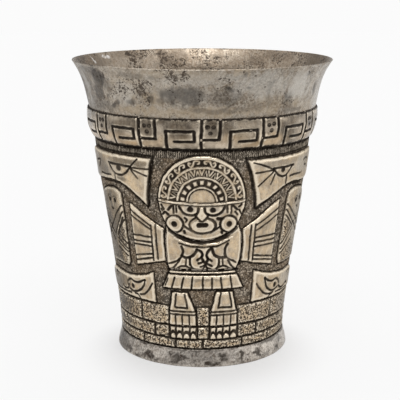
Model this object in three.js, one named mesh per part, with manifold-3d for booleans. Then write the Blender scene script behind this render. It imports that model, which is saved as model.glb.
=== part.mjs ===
// A footed silver beaker vase made of sheet: a flared foot, a floor, a tapered wall with raised
// and chased figures, a swelled fret band and a plain flared collar, lapped and soldered.
// Millimetres, +Z up. The origin is the centre of the foot's lower edge and the figure faces -Y.
import * as THREE from "three";
import Module from "manifold-3d";
import { mergeVertices } from "three/addons/utils/BufferGeometryUtils.js";
import { TessellateModifier } from "three/addons/modifiers/TessellateModifier.js";

const wasm = await Module();
wasm.setup();

// Sheet and joints
const SHEET = 0.8;
const LAP = 3;
const LAP_GAP = 0.1;
const SOLDER_LEG = 0.9;
const SEAM_GAP = 0.02;

// Foot and floor: how far the foot spreads past the wall, and the rebate the wall stands in
const FOOT_HEIGHT = 9.3;
const FOOT_SPREAD = 2.8;
const FOOT_TOP_FLARE = -0.15;
const FLOOR_THICKNESS = 1.3;
const FLOOR_REBATE = 0.4;

// Figure wall, from the foot's seam to the band's seam
const WALL_HEIGHT = 113.5;
const WAIST_RADIUS = 46.4;
const WAIST_FLARE = 0.06;
const SHOULDER_RADIUS = 60.9;
const SHOULDER_FLARE = 0.105;

// Fret band
const BAND_HEIGHT = 16.5;
const BAND_LOWER_FLARE = 0.55;
const BAND_UPPER_FLARE = -0.13;
const FRET_UNITS = 12;

// Collar
const COLLAR_HEIGHT = 25.8;
const NECK_RADIUS = 63.9;
const NECK_FLARE = 0.19;
const MOUTH_RADIUS = 73.1;
const MOUTH_FLARE = 0.75;
const LIP_ROUND = 0.3;

// Relief: how proud the figures stand, what is laid on them, and the lines cut into them
const RELIEF = 1;
const BODY_RELIEF = 0.7;
const FEATURE = 0.35;
const BRICK_RELIEF = 0.6;
const CHASE_DEPTH = 0.4;
const CHASE_WIDTH = 0.9;
const FINE_WIDTH = 0.7;

// Fineness: facets round the vase, rows up the wall, longest edge of bent ornament, steps on a
// half curve, and how far facets may stray when nearly flat ones are merged
const SEGMENTS = 38;
const WALL_ROWS = 4;
const FACET = 14;
const CURVE_STEPS = 4;
const HAIR = 0.07;

// Heights of the seams and of the laps' ends
const WALL_SEAT = FOOT_HEIGHT - LAP;
const FLOOR_TOP = WALL_SEAT + FLOOR_REBATE;
const FLOOR_UNDERSIDE = FLOOR_TOP - FLOOR_THICKNESS;
const SHOULDER = FOOT_HEIGHT + WALL_HEIGHT;
const WALL_TOP = SHOULDER + LAP;
const NECK = SHOULDER + BAND_HEIGHT;
const COLLAR_BOTTOM = NECK - LAP;
const LIP = NECK + COLLAR_HEIGHT;

// The ornament is drawn flat in millimetres, as wide as the whole turn. Heights on the drawing
// are measured from the table, and these are the seams' heights on it.
const drawing = { turn: 352, foot: 9.3, shoulder: 122.8, neck: 139.3 };

// A radius that runs from one seam to the next with a given flare at each end
function flare(low, lowRadius, lowFlare, high, highRadius, highFlare) {
  const span = high - low;
  return (z) => {
    const t = (z - low) / span;
    if (t < 0) return lowRadius + lowFlare * (z - low);
    if (t > 1) return highRadius + highFlare * (z - high);
    const rise = t * t * (3 - 2 * t);
    const start = t * (1 - t) * (1 - t);
    const end = t * t * (t - 1);
    const bow = span * (lowFlare * start + highFlare * end);
    return lowRadius * (1 - rise) + highRadius * rise + bow;
  };
}

// The sheet's inner radius at a height, SHEET away from the outside along the surface's normal
function inside(radius) {
  const probe = 0.01;
  return (z) => {
    const slope = (radius(z + probe) - radius(z - probe)) / (2 * probe);
    return radius(z) - SHEET * Math.hypot(1, slope);
  };
}

// The outer radius of a sheet lapped over another one, where it leans by a given flare
const over = (radius, lean) => radius + LAP_GAP + SHEET * Math.hypot(1, lean);

const footTop = over(WAIST_RADIUS, FOOT_TOP_FLARE);
const footWidest = WAIST_RADIUS + FOOT_SPREAD;
const footRadius = flare(0, footWidest, 0, FOOT_HEIGHT, footTop, FOOT_TOP_FLARE);
const footInside = inside(footRadius);

const bandFoot = over(SHOULDER_RADIUS, BAND_LOWER_FLARE);
const bandTop = over(NECK_RADIUS, BAND_UPPER_FLARE);
const bandRadius = flare(SHOULDER, bandFoot, BAND_LOWER_FLARE, NECK, bandTop, BAND_UPPER_FLARE);
const bandInside = inside(bandRadius);

// The wall's two edges and the collar's lower edge follow the inside of what laps over them
const sleeveRadius = flare(
  FOOT_HEIGHT, WAIST_RADIUS, WAIST_FLARE, SHOULDER, SHOULDER_RADIUS, SHOULDER_FLARE,
);
function wallRadius(z) {
  if (z < FOOT_HEIGHT) return footInside(z) - LAP_GAP;
  return z > SHOULDER ? bandInside(z) - LAP_GAP : sleeveRadius(z);
}
const wallInside = inside(wallRadius);

const neckRadius = flare(NECK, NECK_RADIUS, NECK_FLARE, LIP, MOUTH_RADIUS, MOUTH_FLARE);
const collarRadius = (z) => (z < NECK ? bandInside(z) - LAP_GAP : neckRadius(z));
const collarInside = inside(collarRadius);

function evenly(low, high, count) {
  return Array.from({ length: count + 1 }, (_, i) => low + ((high - low) * i) / count);
}

// A closed mesh as a solid that can be joined and cut
function solidOf(geometry) {
  geometry.deleteAttribute("normal");
  geometry.deleteAttribute("uv");
  const merged = mergeVertices(geometry, 1e-3);
  return new wasm.Manifold(
    new wasm.Mesh({
      numProp: 3,
      vertProperties: merged.attributes.position.array,
      triVerts: new Uint32Array(merged.index.array),
    }),
  );
}

function geometryOf(solid) {
  const mesh = solid.getMesh();
  const geometry = new THREE.BufferGeometry();
  geometry.setAttribute("position", new THREE.BufferAttribute(mesh.vertProperties, 3));
  geometry.setIndex(new THREE.BufferAttribute(mesh.triVerts, 1));
  geometry.computeVertexNormals();
  return geometry;
}

// A ring about the vase's axis from a closed outline of [radius, height] points
function ring(outline) {
  const closed = [...outline, outline[0]].map(([r, z]) => new THREE.Vector2(r, z));
  return solidOf(new THREE.LatheGeometry(closed, SEGMENTS).rotateX(Math.PI / 2));
}

// A bent sheet: up its outside through some heights and down its inside through others
function bentSheet(outer, outerHeights, inner, innerHeights) {
  const up = outerHeights.map((z) => [outer(z), z]);
  const down = [...innerHeights].reverse().map((z) => [inner(z), z]);
  return ring([...up, ...down]);
}

// Bores out a body of revolution so that it becomes a sheet, exact on its inside. Nearly flat
// facets on the worked outside are merged first.
function hollowed(body, inner, heights) {
  const [low, high] = [heights[0], heights.at(-1)];
  const bore = ring([
    [0, low - SHEET],
    [inner(low), low - SHEET],
    ...heights.map((z) => [inner(z), z]),
    [inner(high), high + SHEET],
    [0, high + SHEET],
  ]);
  return body.asOriginal().simplify(HAIR).subtract(bore);
}

// Flat outlines on the drawing
function polygon(points) {
  return new THREE.Shape(points.map(([x, y]) => new THREE.Vector2(x, y)));
}

function oval(x, y, width, height) {
  const shape = new THREE.Shape();
  shape.absellipse(x, y, width / 2, height / 2, 0, 2 * Math.PI, false, 0);
  return shape;
}

// A strip of even width along a run of points, mitred at its corners
function line(points, width = CHASE_WIDTH) {
  const run = points.map(([x, y]) => new THREE.Vector2(x, y));
  const sides = run.map((point, i) => {
    const before = point.clone().sub(run[Math.max(i - 1, 0)]).normalize();
    const after = run[Math.min(i + 1, run.length - 1)].clone().sub(point).normalize();
    const along = before.clone().add(after).normalize();
    const miter = width / 2 / along.dot(i ? before : after);
    return new THREE.Vector2(-along.y, along.x).multiplyScalar(miter);
  });
  const left = run.map((point, i) => point.clone().add(sides[i]));
  const right = run.map((point, i) => point.clone().sub(sides[i])).reverse();
  return new THREE.Shape([...left, ...right]);
}

// A flat outline as a slab, from one height above the surface to another
function slab(shape, from, to) {
  const options = { depth: to - from, bevelEnabled: false, curveSegments: CURVE_STEPS };
  return solidOf(new THREE.ExtrudeGeometry(shape, options).translate(0, 0, from));
}

// Moves a solid from the drawing's heights to the vase's, between two seams
function seated(flat, drawnLow, drawnHigh, low, high) {
  return flat
    .translate([0, -drawnLow, 0])
    .scale([1, (high - low) / (drawnHigh - drawnLow), 1])
    .translate([0, low, 0]);
}

// Bends a flat solid round the vase, from the front for a turn of 0 and from the back for half
// a turn. Its long edges are divided first. A swelled surface needs as many edges up it as round
// it, and a straight one few: straightness stretches what is counted as a long edge upwards.
function bent(flat, surface, startTurn, straightness) {
  const squeezed = geometryOf(flat).scale(1, 1 / straightness, 1);
  squeezed.deleteAttribute("normal");
  const fine = new TessellateModifier(FACET, 14).modify(squeezed).scale(1, straightness, 1);
  const position = fine.attributes.position;
  for (let i = 0; i < position.count; i++) {
    const turn = (2 * Math.PI * position.getX(i)) / drawing.turn + startTurn;
    const z = position.getY(i);
    const radius = surface(z) + position.getZ(i);
    position.setXYZ(i, radius * Math.sin(turn), -radius * Math.cos(turn), z);
  }
  return solidOf(fine);
}
const WALL_STRAIGHTNESS = 8;
const BAND_STRAIGHTNESS = 0.4;

// What is raised on the wall and what is chased into it, as the motifs below draw it
const plates = [];
const grooves = [];
function raise(shape, height = RELIEF) {
  plates.push(slab(shape, -SHEET / 2, height));
}
function chase(shape, height = RELIEF, depth = CHASE_DEPTH) {
  grooves.push(slab(shape, height - depth, height + RELIEF));
}

// Motifs in pairs: the left hand mirrors the right, whose outer figures are drawn a little wider
const HANDS = [1, -1];
const OUTER_STRETCH = 0.045;
function mirrored(points, hand, stretch = 0) {
  const drawn = points.map(([x, y]) => [hand * x * (1 + hand * stretch), y]);
  return hand > 0 ? drawn : drawn.reverse();
}

// Head: a crescent headdress in three bands over a broad face with ear spools
function head() {
  const [brow, halfWidth, crownRise, chinDrop] = [94.5, 24, 25.4, 21.7];
  const outline = new THREE.Shape();
  outline.absellipse(0, brow, halfWidth, crownRise, 0, Math.PI, false, 0);
  outline.absellipse(0, brow, halfWidth, chinDrop, Math.PI, 2 * Math.PI, false, 0);
  raise(outline);
  const rise = crownRise / halfWidth;
  const crownBands = [[23, 19.2], [17.7, 14], [13, 9.2]];
  for (const [outer, inner] of crownBands) {
    const band = new THREE.Shape();
    band.absellipse(0, brow, outer, outer * rise, 0, Math.PI, false, 0);
    band.absellipse(0, brow, inner, inner * rise, Math.PI, 0, true, 0);
    chase(band, RELIEF, FEATURE);
  }
  raise(line([[-halfWidth, 94.6], [0, 93.2], [halfWidth, 94.6]], 1.3), RELIEF + FEATURE);
  const nose = [[-2.6, 86.9], [0, 84.3], [2.6, 86.9], [0.9, 91.5], [-0.9, 91.5]];
  raise(polygon(nose), RELIEF + 2 * FEATURE);
  raise(oval(0.3, 81.8, 14, 8), RELIEF + FEATURE);
  chase(oval(0.3, 81.8, 6, 2.2), RELIEF + FEATURE, CHASE_DEPTH + FEATURE);
  chase(line([[-9.5, 80.6], [-5, 78], [0.3, 77.1], [5.5, 78], [10, 80.6]], FINE_WIDTH));
  const lid = [[12.1, 92], [10, 88.5], [6.3, 87.2], [2.9, 88], [1.8, 92]];
  for (const hand of HANDS) {
    raise(oval(hand * 15, 82.5, 9.4, 9.4), RELIEF + FEATURE);
    chase(oval(hand * 15, 82.5, 3.1, 3.1), RELIEF + FEATURE, CHASE_DEPTH + FEATURE);
    chase(line(mirrored(lid, hand)));
    chase(oval(hand * 6, 90.5, 2.5, 2.5));
  }
}

// Body: chest, folded arms with raised thumbs, belt, pleated skirt, legs, fringes and feet
function body() {
  const middleX = 0.7;
  const placed = (points) => points.map(([x, y]) => [x + middleX, y]);
  const chest = [
    [-19, 56], [19, 56], [21.4, 61], [21.4, 72], [19, 82], [-19, 82], [-21.4, 72], [-21.4, 61],
  ];
  raise(polygon(placed(chest)), BODY_RELIEF);
  raise(polygon(placed([[-19.8, 53], [19.8, 53], [19.4, 55.6], [-19.4, 55.6]])));
  raise(polygon(placed([[-24.6, 44.8], [24.6, 44.8], [20.2, 52.6], [-20.2, 52.6]])));
  for (let pleat = -3; pleat <= 3; pleat++)
    chase(line(placed([[5.5 * pleat, 52.4], [6.1 * pleat, 45]]), FINE_WIDTH));
  const arm = [
    [1.6, 58.6], [6, 57.2], [14, 58.2], [18.6, 59.4], [12.4, 63.4], [7.6, 63.4], [5.4, 65.6],
    [4.7, 68.4], [2.6, 67.8], [1.4, 64],
  ];
  const leg = [[4.8, 33], [20.9, 33], [18.3, 42.8], [8.8, 42.8]];
  const fringe = [[4.2, 23.4], [21.9, 23.4], [21.2, 31.6], [4.7, 31.6]];
  const foot = [[4.1, 15.7], [22.4, 15.7], [22.4, 21.6], [20, 22.3], [6, 22.3], [4.1, 21.6]];
  const anklet = [[4.5, 30.4], [21.4, 30.4]];
  for (const hand of HANDS) {
    for (const plate of [arm, leg, fringe, foot])
      raise(polygon(placed(mirrored(plate, hand))));
    chase(line(placed(mirrored(anklet, hand)), FINE_WIDTH));
    for (const x of [8.6, 13, 17.6])
      chase(line(placed(mirrored([[x, 29.4], [x, 15.2]], hand)), FINE_WIDTH));
  }
}

// Wings, spread from the shoulders, with feather lines
function wings() {
  const outline = [
    [20, 60.8], [33, 58], [44.2, 55.2], [44.2, 91.6], [40, 89], [30, 83], [20, 77.5],
  ];
  const feathers = [
    [[44, 85.6], [29.6, 77.4]],
    [[44, 72.4], [29.6, 72.4]],
    [[44, 67.8], [29.6, 67.8]],
    [[44, 59.4], [29.6, 62]],
    [[28, 60], [28, 81]],
  ];
  for (const hand of HANDS) {
    raise(polygon(mirrored(outline, hand, OUTER_STRETCH)), BODY_RELIEF);
    for (const feather of feathers)
      chase(line(mirrored(feather, hand, OUTER_STRETCH), FINE_WIDTH), BODY_RELIEF);
  }
}

// Beaked heads above the wings, their snouts meeting at the vase's sides
function upperHeads() {
  const outline = [
    [29.5, 90.4], [34, 94], [38, 96.4], [43, 98.6], [48, 100.4], [54, 101.3], [62, 100.8],
    [80, 99.8], [85, 102], [86, 108], [84.5, 114], [80, 116.8], [24, 116.8], [26.5, 109],
    [28.4, 100],
  ];
  const lid = [[38.6, 110.6], [41.4, 107.2], [46, 105.8], [50.6, 107], [54.4, 111]];
  for (const hand of HANDS) {
    raise(polygon(mirrored(outline, hand)));
    chase(line(mirrored([[38, 111], [54.6, 111]], hand)));
    chase(line(mirrored(lid, hand)));
    chase(oval(hand * 46, 109.6, 2.9, 2.9));
    chase(line(mirrored([[53.2, 105], [64.6, 104.6]], hand)));
  }
}

// Low heads beside the legs, with long jaws
function lowerHeads() {
  const outline = [
    [31.3, 35], [79, 35], [83.4, 37.4], [84, 43], [81.6, 47.4], [74, 48.4], [58, 48.6],
    [48, 49.1], [38, 51.1], [31.3, 53.4],
  ];
  const lids = [
    [39.4, 47.4], [43.4, 45.4], [49.4, 45.2], [53.6, 44.4], [55.2, 41.8], [52.4, 39.2],
    [46, 39.4], [41.4, 42.4], [39.4, 47.4],
  ];
  const pupilX = 50;
  for (const hand of HANDS) {
    raise(polygon(mirrored(outline, hand, OUTER_STRETCH)));
    chase(line(mirrored(lids, hand, OUTER_STRETCH), FINE_WIDTH));
    chase(oval(hand * pupilX * (1 + hand * OUTER_STRETCH), 41.9, 3.2, 3.2));
    chase(line(mirrored([[54, 37.1], [74, 36.8]], hand, OUTER_STRETCH)));
  }
}

// Tall wrapped bundle figures, each with two eyes and crossed cords
function bundles() {
  const [middle, halfWidth, bottom, shoulder, domeRise] = [62.6, 12, 53.8, 91, 6.2];
  for (const hand of HANDS) {
    const centre = hand * middle * (1 + hand * OUTER_STRETCH);
    const outline = new THREE.Shape();
    outline.moveTo(centre - halfWidth + 2, bottom);
    outline.lineTo(centre + halfWidth - 2, bottom);
    outline.lineTo(centre + halfWidth - 0.4, bottom + 3);
    outline.absellipse(centre, shoulder, halfWidth, domeRise, 0, Math.PI, false, 0);
    outline.lineTo(centre - halfWidth + 0.4, bottom + 3);
    raise(outline);
    const reach = halfWidth - 0.6;
    for (const slant of [1, -1]) {
      chase(line([[centre - slant * reach, 86], [centre + slant * reach, 64]], 1.2));
      chase(oval(centre + slant * 3.2, 90, 2.6, 2.6));
    }
  }
}

// Masonry courses under the figure's feet: drawn heights of their edges, and for each course
// the places of its upright joints
const mortar = 0.9;
const courseHeights = [5, 6.7, 10.7];
const jointPlaces = [
  [-78, -42.5, -17.7, 0.4, 27.4, 50.3, 80],
  [-62, -32.3, 38.1, 66],
  [-72, -42.5, 50.8, 84],
];
const courses = [];
let courseFoot = drawing.foot + mortar / 2;
for (const courseHeight of courseHeights) {
  courses.push([courseFoot, courseFoot + courseHeight]);
  courseFoot += courseHeight + mortar;
}

function jointCuts() {
  const cuts = jointPlaces.flatMap((places, i) => {
    const [low, high] = courses[i];
    return places.map((x) => line([[x, low - mortar / 4], [x, high + mortar / 4]], mortar));
  });
  const [floor, clear] = [BRICK_RELIEF - CHASE_DEPTH, BRICK_RELIEF + RELIEF];
  return wasm.Manifold.union(cuts.map((cut) => slab(cut, floor, clear)));
}

function figureWall() {
  const onWall = (y) =>
    FOOT_HEIGHT + ((y - drawing.foot) * WALL_HEIGHT) / (drawing.shoulder - drawing.foot);
  const stones = courses.flatMap(([drawnLow, drawnHigh]) => {
    const [low, high] = [onWall(drawnLow), onWall(drawnHigh)];
    return [
      [wallRadius(low), low],
      [wallRadius(low) + BRICK_RELIEF, low],
      [wallRadius(high) + BRICK_RELIEF, high],
      [wallRadius(high), high],
    ];
  });
  const masonryTop = onWall(courses.at(-1)[1]);
  const lowerLap = [WALL_SEAT, WALL_SEAT + SOLDER_LEG, FOOT_HEIGHT];
  const upperLap = [(SHOULDER + WALL_TOP) / 2, WALL_TOP];
  const panel = [...evenly(masonryTop, SHOULDER, WALL_ROWS).slice(1), ...upperLap];
  const backHeights = [...lowerLap, ...evenly(FOOT_HEIGHT, SHOULDER, 3).slice(1), ...upperLap];
  const core = ring([
    [0, WALL_SEAT],
    ...lowerLap.map((z) => [wallRadius(z), z]),
    ...stones,
    ...panel.map((z) => [wallRadius(z), z]),
    [0, WALL_TOP],
  ]);

  head();
  body();
  wings();
  upperHeads();
  lowerHeads();
  bundles();
  const ornament = wasm.Manifold.union(plates).subtract(wasm.Manifold.union(grooves));
  const bothSides = (flat) => {
    const placed = seated(flat, drawing.foot, drawing.shoulder, FOOT_HEIGHT, SHOULDER);
    const turns = [0, Math.PI];
    const halves = turns.map((turn) => bent(placed, wallRadius, turn, WALL_STRAIGHTNESS));
    return wasm.Manifold.union(halves);
  };
  const worked = core.subtract(bothSides(jointCuts())).add(bothSides(ornament));
  return hollowed(worked, wallInside, backHeights);
}

// Stepped fret: in each unit a full upright, a tab that hangs beside it, and a hook
function fretGrooves() {
  const unitWidth = drawing.turn / FRET_UNITS;
  const tab = { width: 8, low: 128.3 };
  const hook = { left: 13, right: 26, inner: 17, high: 132.7, low: 127.3 };
  const [foot, top] = [drawing.shoulder + 0.4, drawing.neck - 0.4];
  const unit = [
    [[0, foot], [0, top]],
    [[0, tab.low], [tab.width, tab.low], [tab.width, top]],
    [
      [hook.left, foot], [hook.left, hook.high], [hook.right, hook.high],
      [hook.right, hook.low], [hook.inner, hook.low],
    ],
  ];
  const cuts = [];
  for (let i = 0; i < FRET_UNITS; i++)
    for (const run of unit) {
      const shape = line(run.map(([x, y]) => [i * unitWidth + x, y]));
      cuts.push(slab(shape, -CHASE_DEPTH, RELIEF));
    }
  return wasm.Manifold.union(cuts);
}

function fretBand() {
  const core = ring([
    [0, SHOULDER],
    ...evenly(SHOULDER, NECK, 4).map((z) => [bandRadius(z), z]),
    [0, NECK],
  ]);
  const fret = seated(fretGrooves(), drawing.shoulder, drawing.neck, SHOULDER, NECK);
  const worked = core.subtract(bent(fret, bandRadius, 0, BAND_STRAIGHTNESS));
  return hollowed(worked, bandInside, [
    SHOULDER, (SHOULDER + WALL_TOP) / 2, WALL_TOP, WALL_TOP + SOLDER_LEG,
    COLLAR_BOTTOM - SOLDER_LEG, COLLAR_BOTTOM, NECK,
  ]);
}

// The collar tucks inside the band, and its lip is rounded over
function rimCollar() {
  const heights = [COLLAR_BOTTOM, ...evenly(NECK, LIP - LIP_ROUND, 5)];
  const crest = (collarRadius(LIP) + collarInside(LIP)) / 2;
  return ring([
    ...heights.map((z) => [collarRadius(z), z]),
    [crest, LIP],
    ...[...heights].reverse().map((z) => [collarInside(z), z]),
  ]);
}

function footRing() {
  const lap = [WALL_SEAT, WALL_SEAT + SOLDER_LEG, FOOT_HEIGHT];
  const backHeights = [0, FLOOR_UNDERSIDE - SOLDER_LEG, FLOOR_UNDERSIDE, ...lap];
  return bentSheet(footRadius, evenly(0, FOOT_HEIGHT, 4), footInside, backHeights);
}

// The floor reaches the foot's inside. The wall's lower edge stands in a rebate round it.
const rebateRadius = wallInside(WALL_SEAT) - SOLDER_LEG;
function floorDisc() {
  return ring([
    [0, FLOOR_UNDERSIDE],
    [footInside(FLOOR_UNDERSIDE) - LAP_GAP, FLOOR_UNDERSIDE],
    [footInside(WALL_SEAT) - LAP_GAP, WALL_SEAT],
    [rebateRadius, WALL_SEAT],
    [rebateRadius, FLOOR_TOP],
    [0, FLOOR_TOP],
  ]);
}

// A fillet of solder against a sheet's face, from the corner along it and across to a toe
function solderSeam(face, corner, away, toe) {
  const outward = Math.sign(away - corner);
  const near = corner + outward * SEAM_GAP;
  const triangle = [
    [face(corner) - SEAM_GAP, near],
    [face(away) - SEAM_GAP, away],
    [toe, near],
  ];
  return ring(outward > 0 ? triangle : triangle.reverse());
}

const silver = (color, roughness) =>
  new THREE.MeshStandardMaterial({ color, roughness, metalness: 1 });
const plainSilver = silver(0xb9b0a2, 0.32);
const chasedSilver = silver(0x8f877b, 0.5);
const solderMetal = silver(0x9c9a94, 0.45);

const vase = new THREE.Group();
function piece(name, solid, material) {
  const mesh = new THREE.Mesh(geometryOf(solid), material);
  mesh.name = name;
  vase.add(mesh);
}

piece("rim_collar", rimCollar(), plainSilver);
piece("fret_band", fretBand(), chasedSilver);
piece("figure_wall", figureWall(), chasedSilver);
piece("foot_ring", footRing(), plainSilver);
piece("floor_disc", floorDisc(), plainSilver);

const underFloor = FLOOR_UNDERSIDE - SOLDER_LEG;
const footToe = footInside(FLOOR_UNDERSIDE) - SOLDER_LEG;
const floorToe = rebateRadius + LAP_GAP;
const seams = {
  solder_collar: solderSeam(
    bandInside, COLLAR_BOTTOM, COLLAR_BOTTOM - SOLDER_LEG, collarInside(COLLAR_BOTTOM),
  ),
  solder_band: solderSeam(bandInside, WALL_TOP, WALL_TOP + SOLDER_LEG, wallInside(WALL_TOP)),
  solder_floor: solderSeam(wallInside, WALL_SEAT, WALL_SEAT + SOLDER_LEG, floorToe),
  solder_foot: solderSeam(footInside, FLOOR_UNDERSIDE, underFloor, footToe),
};
for (const [name, solid] of Object.entries(seams)) piece(name, solid, solderMetal);

export default vase;
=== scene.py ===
# %% [markdown]
# A footed silver beaker vase. Its wall is chased in low relief with a figure, beaked heads and
# masonry, a swelled band above it carries a stepped fret, and a plain flared collar ends it.
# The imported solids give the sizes, the places and the sheet joints. This script makes the fine
# surface round them: relief that is dense enough to catch light, and tarnished silver.

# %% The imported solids
import bpy
import math
import numpy as np
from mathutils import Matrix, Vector


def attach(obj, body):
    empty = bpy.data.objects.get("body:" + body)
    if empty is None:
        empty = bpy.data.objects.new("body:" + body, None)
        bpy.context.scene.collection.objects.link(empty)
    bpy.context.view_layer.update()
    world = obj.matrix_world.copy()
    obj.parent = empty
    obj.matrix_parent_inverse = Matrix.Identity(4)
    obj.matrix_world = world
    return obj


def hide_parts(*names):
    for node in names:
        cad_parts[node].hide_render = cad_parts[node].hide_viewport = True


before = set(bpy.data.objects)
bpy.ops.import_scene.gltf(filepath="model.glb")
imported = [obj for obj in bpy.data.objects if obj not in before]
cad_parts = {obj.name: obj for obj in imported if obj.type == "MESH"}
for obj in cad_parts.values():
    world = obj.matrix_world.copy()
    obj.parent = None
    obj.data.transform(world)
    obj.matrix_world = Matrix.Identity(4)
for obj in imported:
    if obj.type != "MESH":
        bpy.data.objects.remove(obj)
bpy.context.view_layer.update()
print("solids:", ", ".join(sorted(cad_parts)))

# %% [markdown]
# The vase was spun and hammered from sheet, so every wall is a radius that changes with height.
# A profile curve with a Screw modifier could turn such a wall. Here each wall is a function
# instead, because the laps, the relief and the solder all have to ask for the same radius. A
# wall that is tucked into another one is that wall's inside, less a hair of a gap.

# %% The vase's walls as radii
MM = 0.001
SHEET = 0.8
LAP_GAP = 0.1
SLOPE_STEP = 0.01
# Heights
FLOOR_UNDERSIDE = 5.4
WALL_SEAT = 6.3
FLOOR_TOP = 6.7
FOOT_SEAM = 9.3
SHOULDER = 122.8
WALL_TOP = 125.8
COLLAR_FOOT = 136.3
NECK = 139.3
LIP = 165.1
# Radii
REBATE_RADIUS = 45.3
FOOT_RADIUS = 49.2
WALL_LOW_RADIUS = 46.4
WALL_HIGH_RADIUS = 60.9
NECK_RADIUS = 63.9
LIP_RADIUS = 73.1
# Leans: how much the radius grows over one millimetre of height
FOOT_LEAN = -0.15
WALL_LOW_LEAN = 0.06
WALL_HIGH_LEAN = 0.105
BAND_LOW_LEAN = 0.55
BAND_HIGH_LEAN = -0.13
NECK_LEAN = 0.19
LIP_LEAN = 0.75


def flare(low, low_radius, low_lean, high, high_radius, high_lean):
    """A radius for any height, with the given lean at both ends."""
    span = high - low

    def radius(z):
        z = np.asarray(z, dtype=float)
        t = np.clip((z - low) / span, 0, 1)
        rise = t * t * (3 - 2 * t)
        bow = low_lean * t * (1 - t) ** 2 + high_lean * t * t * (t - 1)
        ends = low_lean * np.minimum(z - low, 0) + high_lean * np.maximum(z - high, 0)
        return low_radius * (1 - rise) + high_radius * rise + span * bow + ends

    return radius


def over(radius, lean):
    """The outer radius of a sheet lapped over another one that leans."""
    return radius + LAP_GAP + SHEET * math.hypot(1, lean)


def inner(radius):
    """The inside of a sheet, its thickness away along the surface's normal."""

    def inside(z):
        lean = (radius(z + SLOPE_STEP) - radius(z - SLOPE_STEP)) / (2 * SLOPE_STEP)
        return radius(z) - SHEET * np.hypot(1, lean)

    return inside


foot_radius = flare(0, FOOT_RADIUS, 0, FOOT_SEAM, over(WALL_LOW_RADIUS, FOOT_LEAN), FOOT_LEAN)
sleeve_radius = flare(FOOT_SEAM, WALL_LOW_RADIUS, WALL_LOW_LEAN,
                      SHOULDER, WALL_HIGH_RADIUS, WALL_HIGH_LEAN)
band_radius = flare(SHOULDER, over(WALL_HIGH_RADIUS, BAND_LOW_LEAN), BAND_LOW_LEAN,
                    NECK, over(NECK_RADIUS, BAND_HIGH_LEAN), BAND_HIGH_LEAN)
neck_radius = flare(NECK, NECK_RADIUS, NECK_LEAN, LIP, LIP_RADIUS, LIP_LEAN)


def wall_radius(z):
    tucked = np.where(z < FOOT_SEAM, inner(foot_radius)(z), inner(band_radius)(z)) - LAP_GAP
    return np.where((z < FOOT_SEAM) | (z > SHOULDER), tucked, sleeve_radius(z))


def collar_radius(z):
    return np.where(z < NECK, inner(band_radius)(z) - LAP_GAP, neck_radius(z))


print("mouth", float(collar_radius(LIP)) * 2, "mm across, foot", float(foot_radius(0)) * 2)

# %% [markdown]
# The camera comes next, so that everything after it can be judged in the frame of the
# photograph. It stands 0.61 m away, a little above the rim, and looks down by twelve degrees.
# A Track To constraint could aim it, but one angle is easier to read and to keep.

# %% Camera
CAMERA_PLACE = (0, -0.61265, 0.21529)
LOOKS_DOWN = 12.149
SENSOR_MM = 36
LENS_MM = 97.69
SIDE_SHIFT = -0.0055

lens = bpy.data.cameras.new("camera_lens")
lens.sensor_width = SENSOR_MM
lens.lens = LENS_MM
lens.shift_x = SIDE_SHIFT
lens.clip_start = 0.01
camera = bpy.data.objects.new("camera", lens)
camera.location = CAMERA_PLACE
camera.rotation_euler = (math.radians(90 - LOOKS_DOWN), 0, 0)
bpy.context.collection.objects.link(camera)
bpy.context.scene.camera = camera
bpy.context.scene.view_settings.view_transform = "Standard"
print("camera", camera.location[:])

# %% [markdown]
# Materials and the world are node trees. They could be wired by hand in the Shader Editor, but
# a script can be read and run again. This helper adds a node and fills its inputs in one call.
# An input takes a number, a colour, a node, a socket or the name of a mask on the mesh.


# %% A helper for node trees
class Tree:
    """Adds nodes to a shader node tree and wires them."""

    def __init__(self, tree):
        self.tree = tree
        self.tree.nodes.clear()
        self.masks = {}

    def node(self, kind, inputs=None, **settings):
        made = self.tree.nodes.new("ShaderNode" + kind)
        for name, value in settings.items():
            setattr(made, name, value)
        for name, value in (inputs or {}).items():
            self.join(value, made.inputs[name])
        return made

    def mask(self, name):
        """A mask of the mesh, read by one node for the whole material."""
        if name not in self.masks:
            self.masks[name] = self.node("Attribute", attribute_name=name).outputs["Fac"]
        return self.masks[name]

    def join(self, value, socket):
        if isinstance(value, str):
            value = self.mask(value)
        if isinstance(value, bpy.types.Node):
            value = value.outputs[0]
        if isinstance(value, bpy.types.NodeSocket):
            self.tree.links.new(value, socket)
        else:
            socket.default_value = value

    def fill(self, made, values):
        """Fills a node's inputs in their order and gives its first output."""
        for value, socket in zip(values, made.inputs):
            self.join(value, socket)
        return made.outputs[0]

    def math(self, operation, *values, clamp=False):
        return self.fill(self.node("Math", operation=operation, use_clamp=clamp), values)

    def vector(self, operation, *values):
        return self.fill(self.node("VectorMath", operation=operation), values)

    def noise(self, place, scale, detail, roughness=0.5):
        inputs = {"Vector": place, "Scale": scale, "Detail": detail, "Roughness": roughness}
        return self.node("TexNoise", inputs).outputs

    def mix(self, factor, first, second):
        inputs = {"Factor": factor, "A": first, "B": second}
        return self.node("Mix", inputs, data_type="RGBA").outputs["Result"]

    def paint(self, base, coats):
        """Colours laid over a base, each where its mask is and in its share."""
        for mask, share, coat in coats:
            base = self.mix(self.math("MULTIPLY", mask, share), base, coat)
        return base

    def ramp(self, value, low, high):
        """0 below low and 1 above high, smooth between."""
        inputs = {"Value": value, "From Min": low, "From Max": high}
        return self.node("MapRange", inputs, interpolation_type="SMOOTHSTEP").outputs["Result"]


def colour(r, g, b):
    return (r, g, b, 1)


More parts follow.
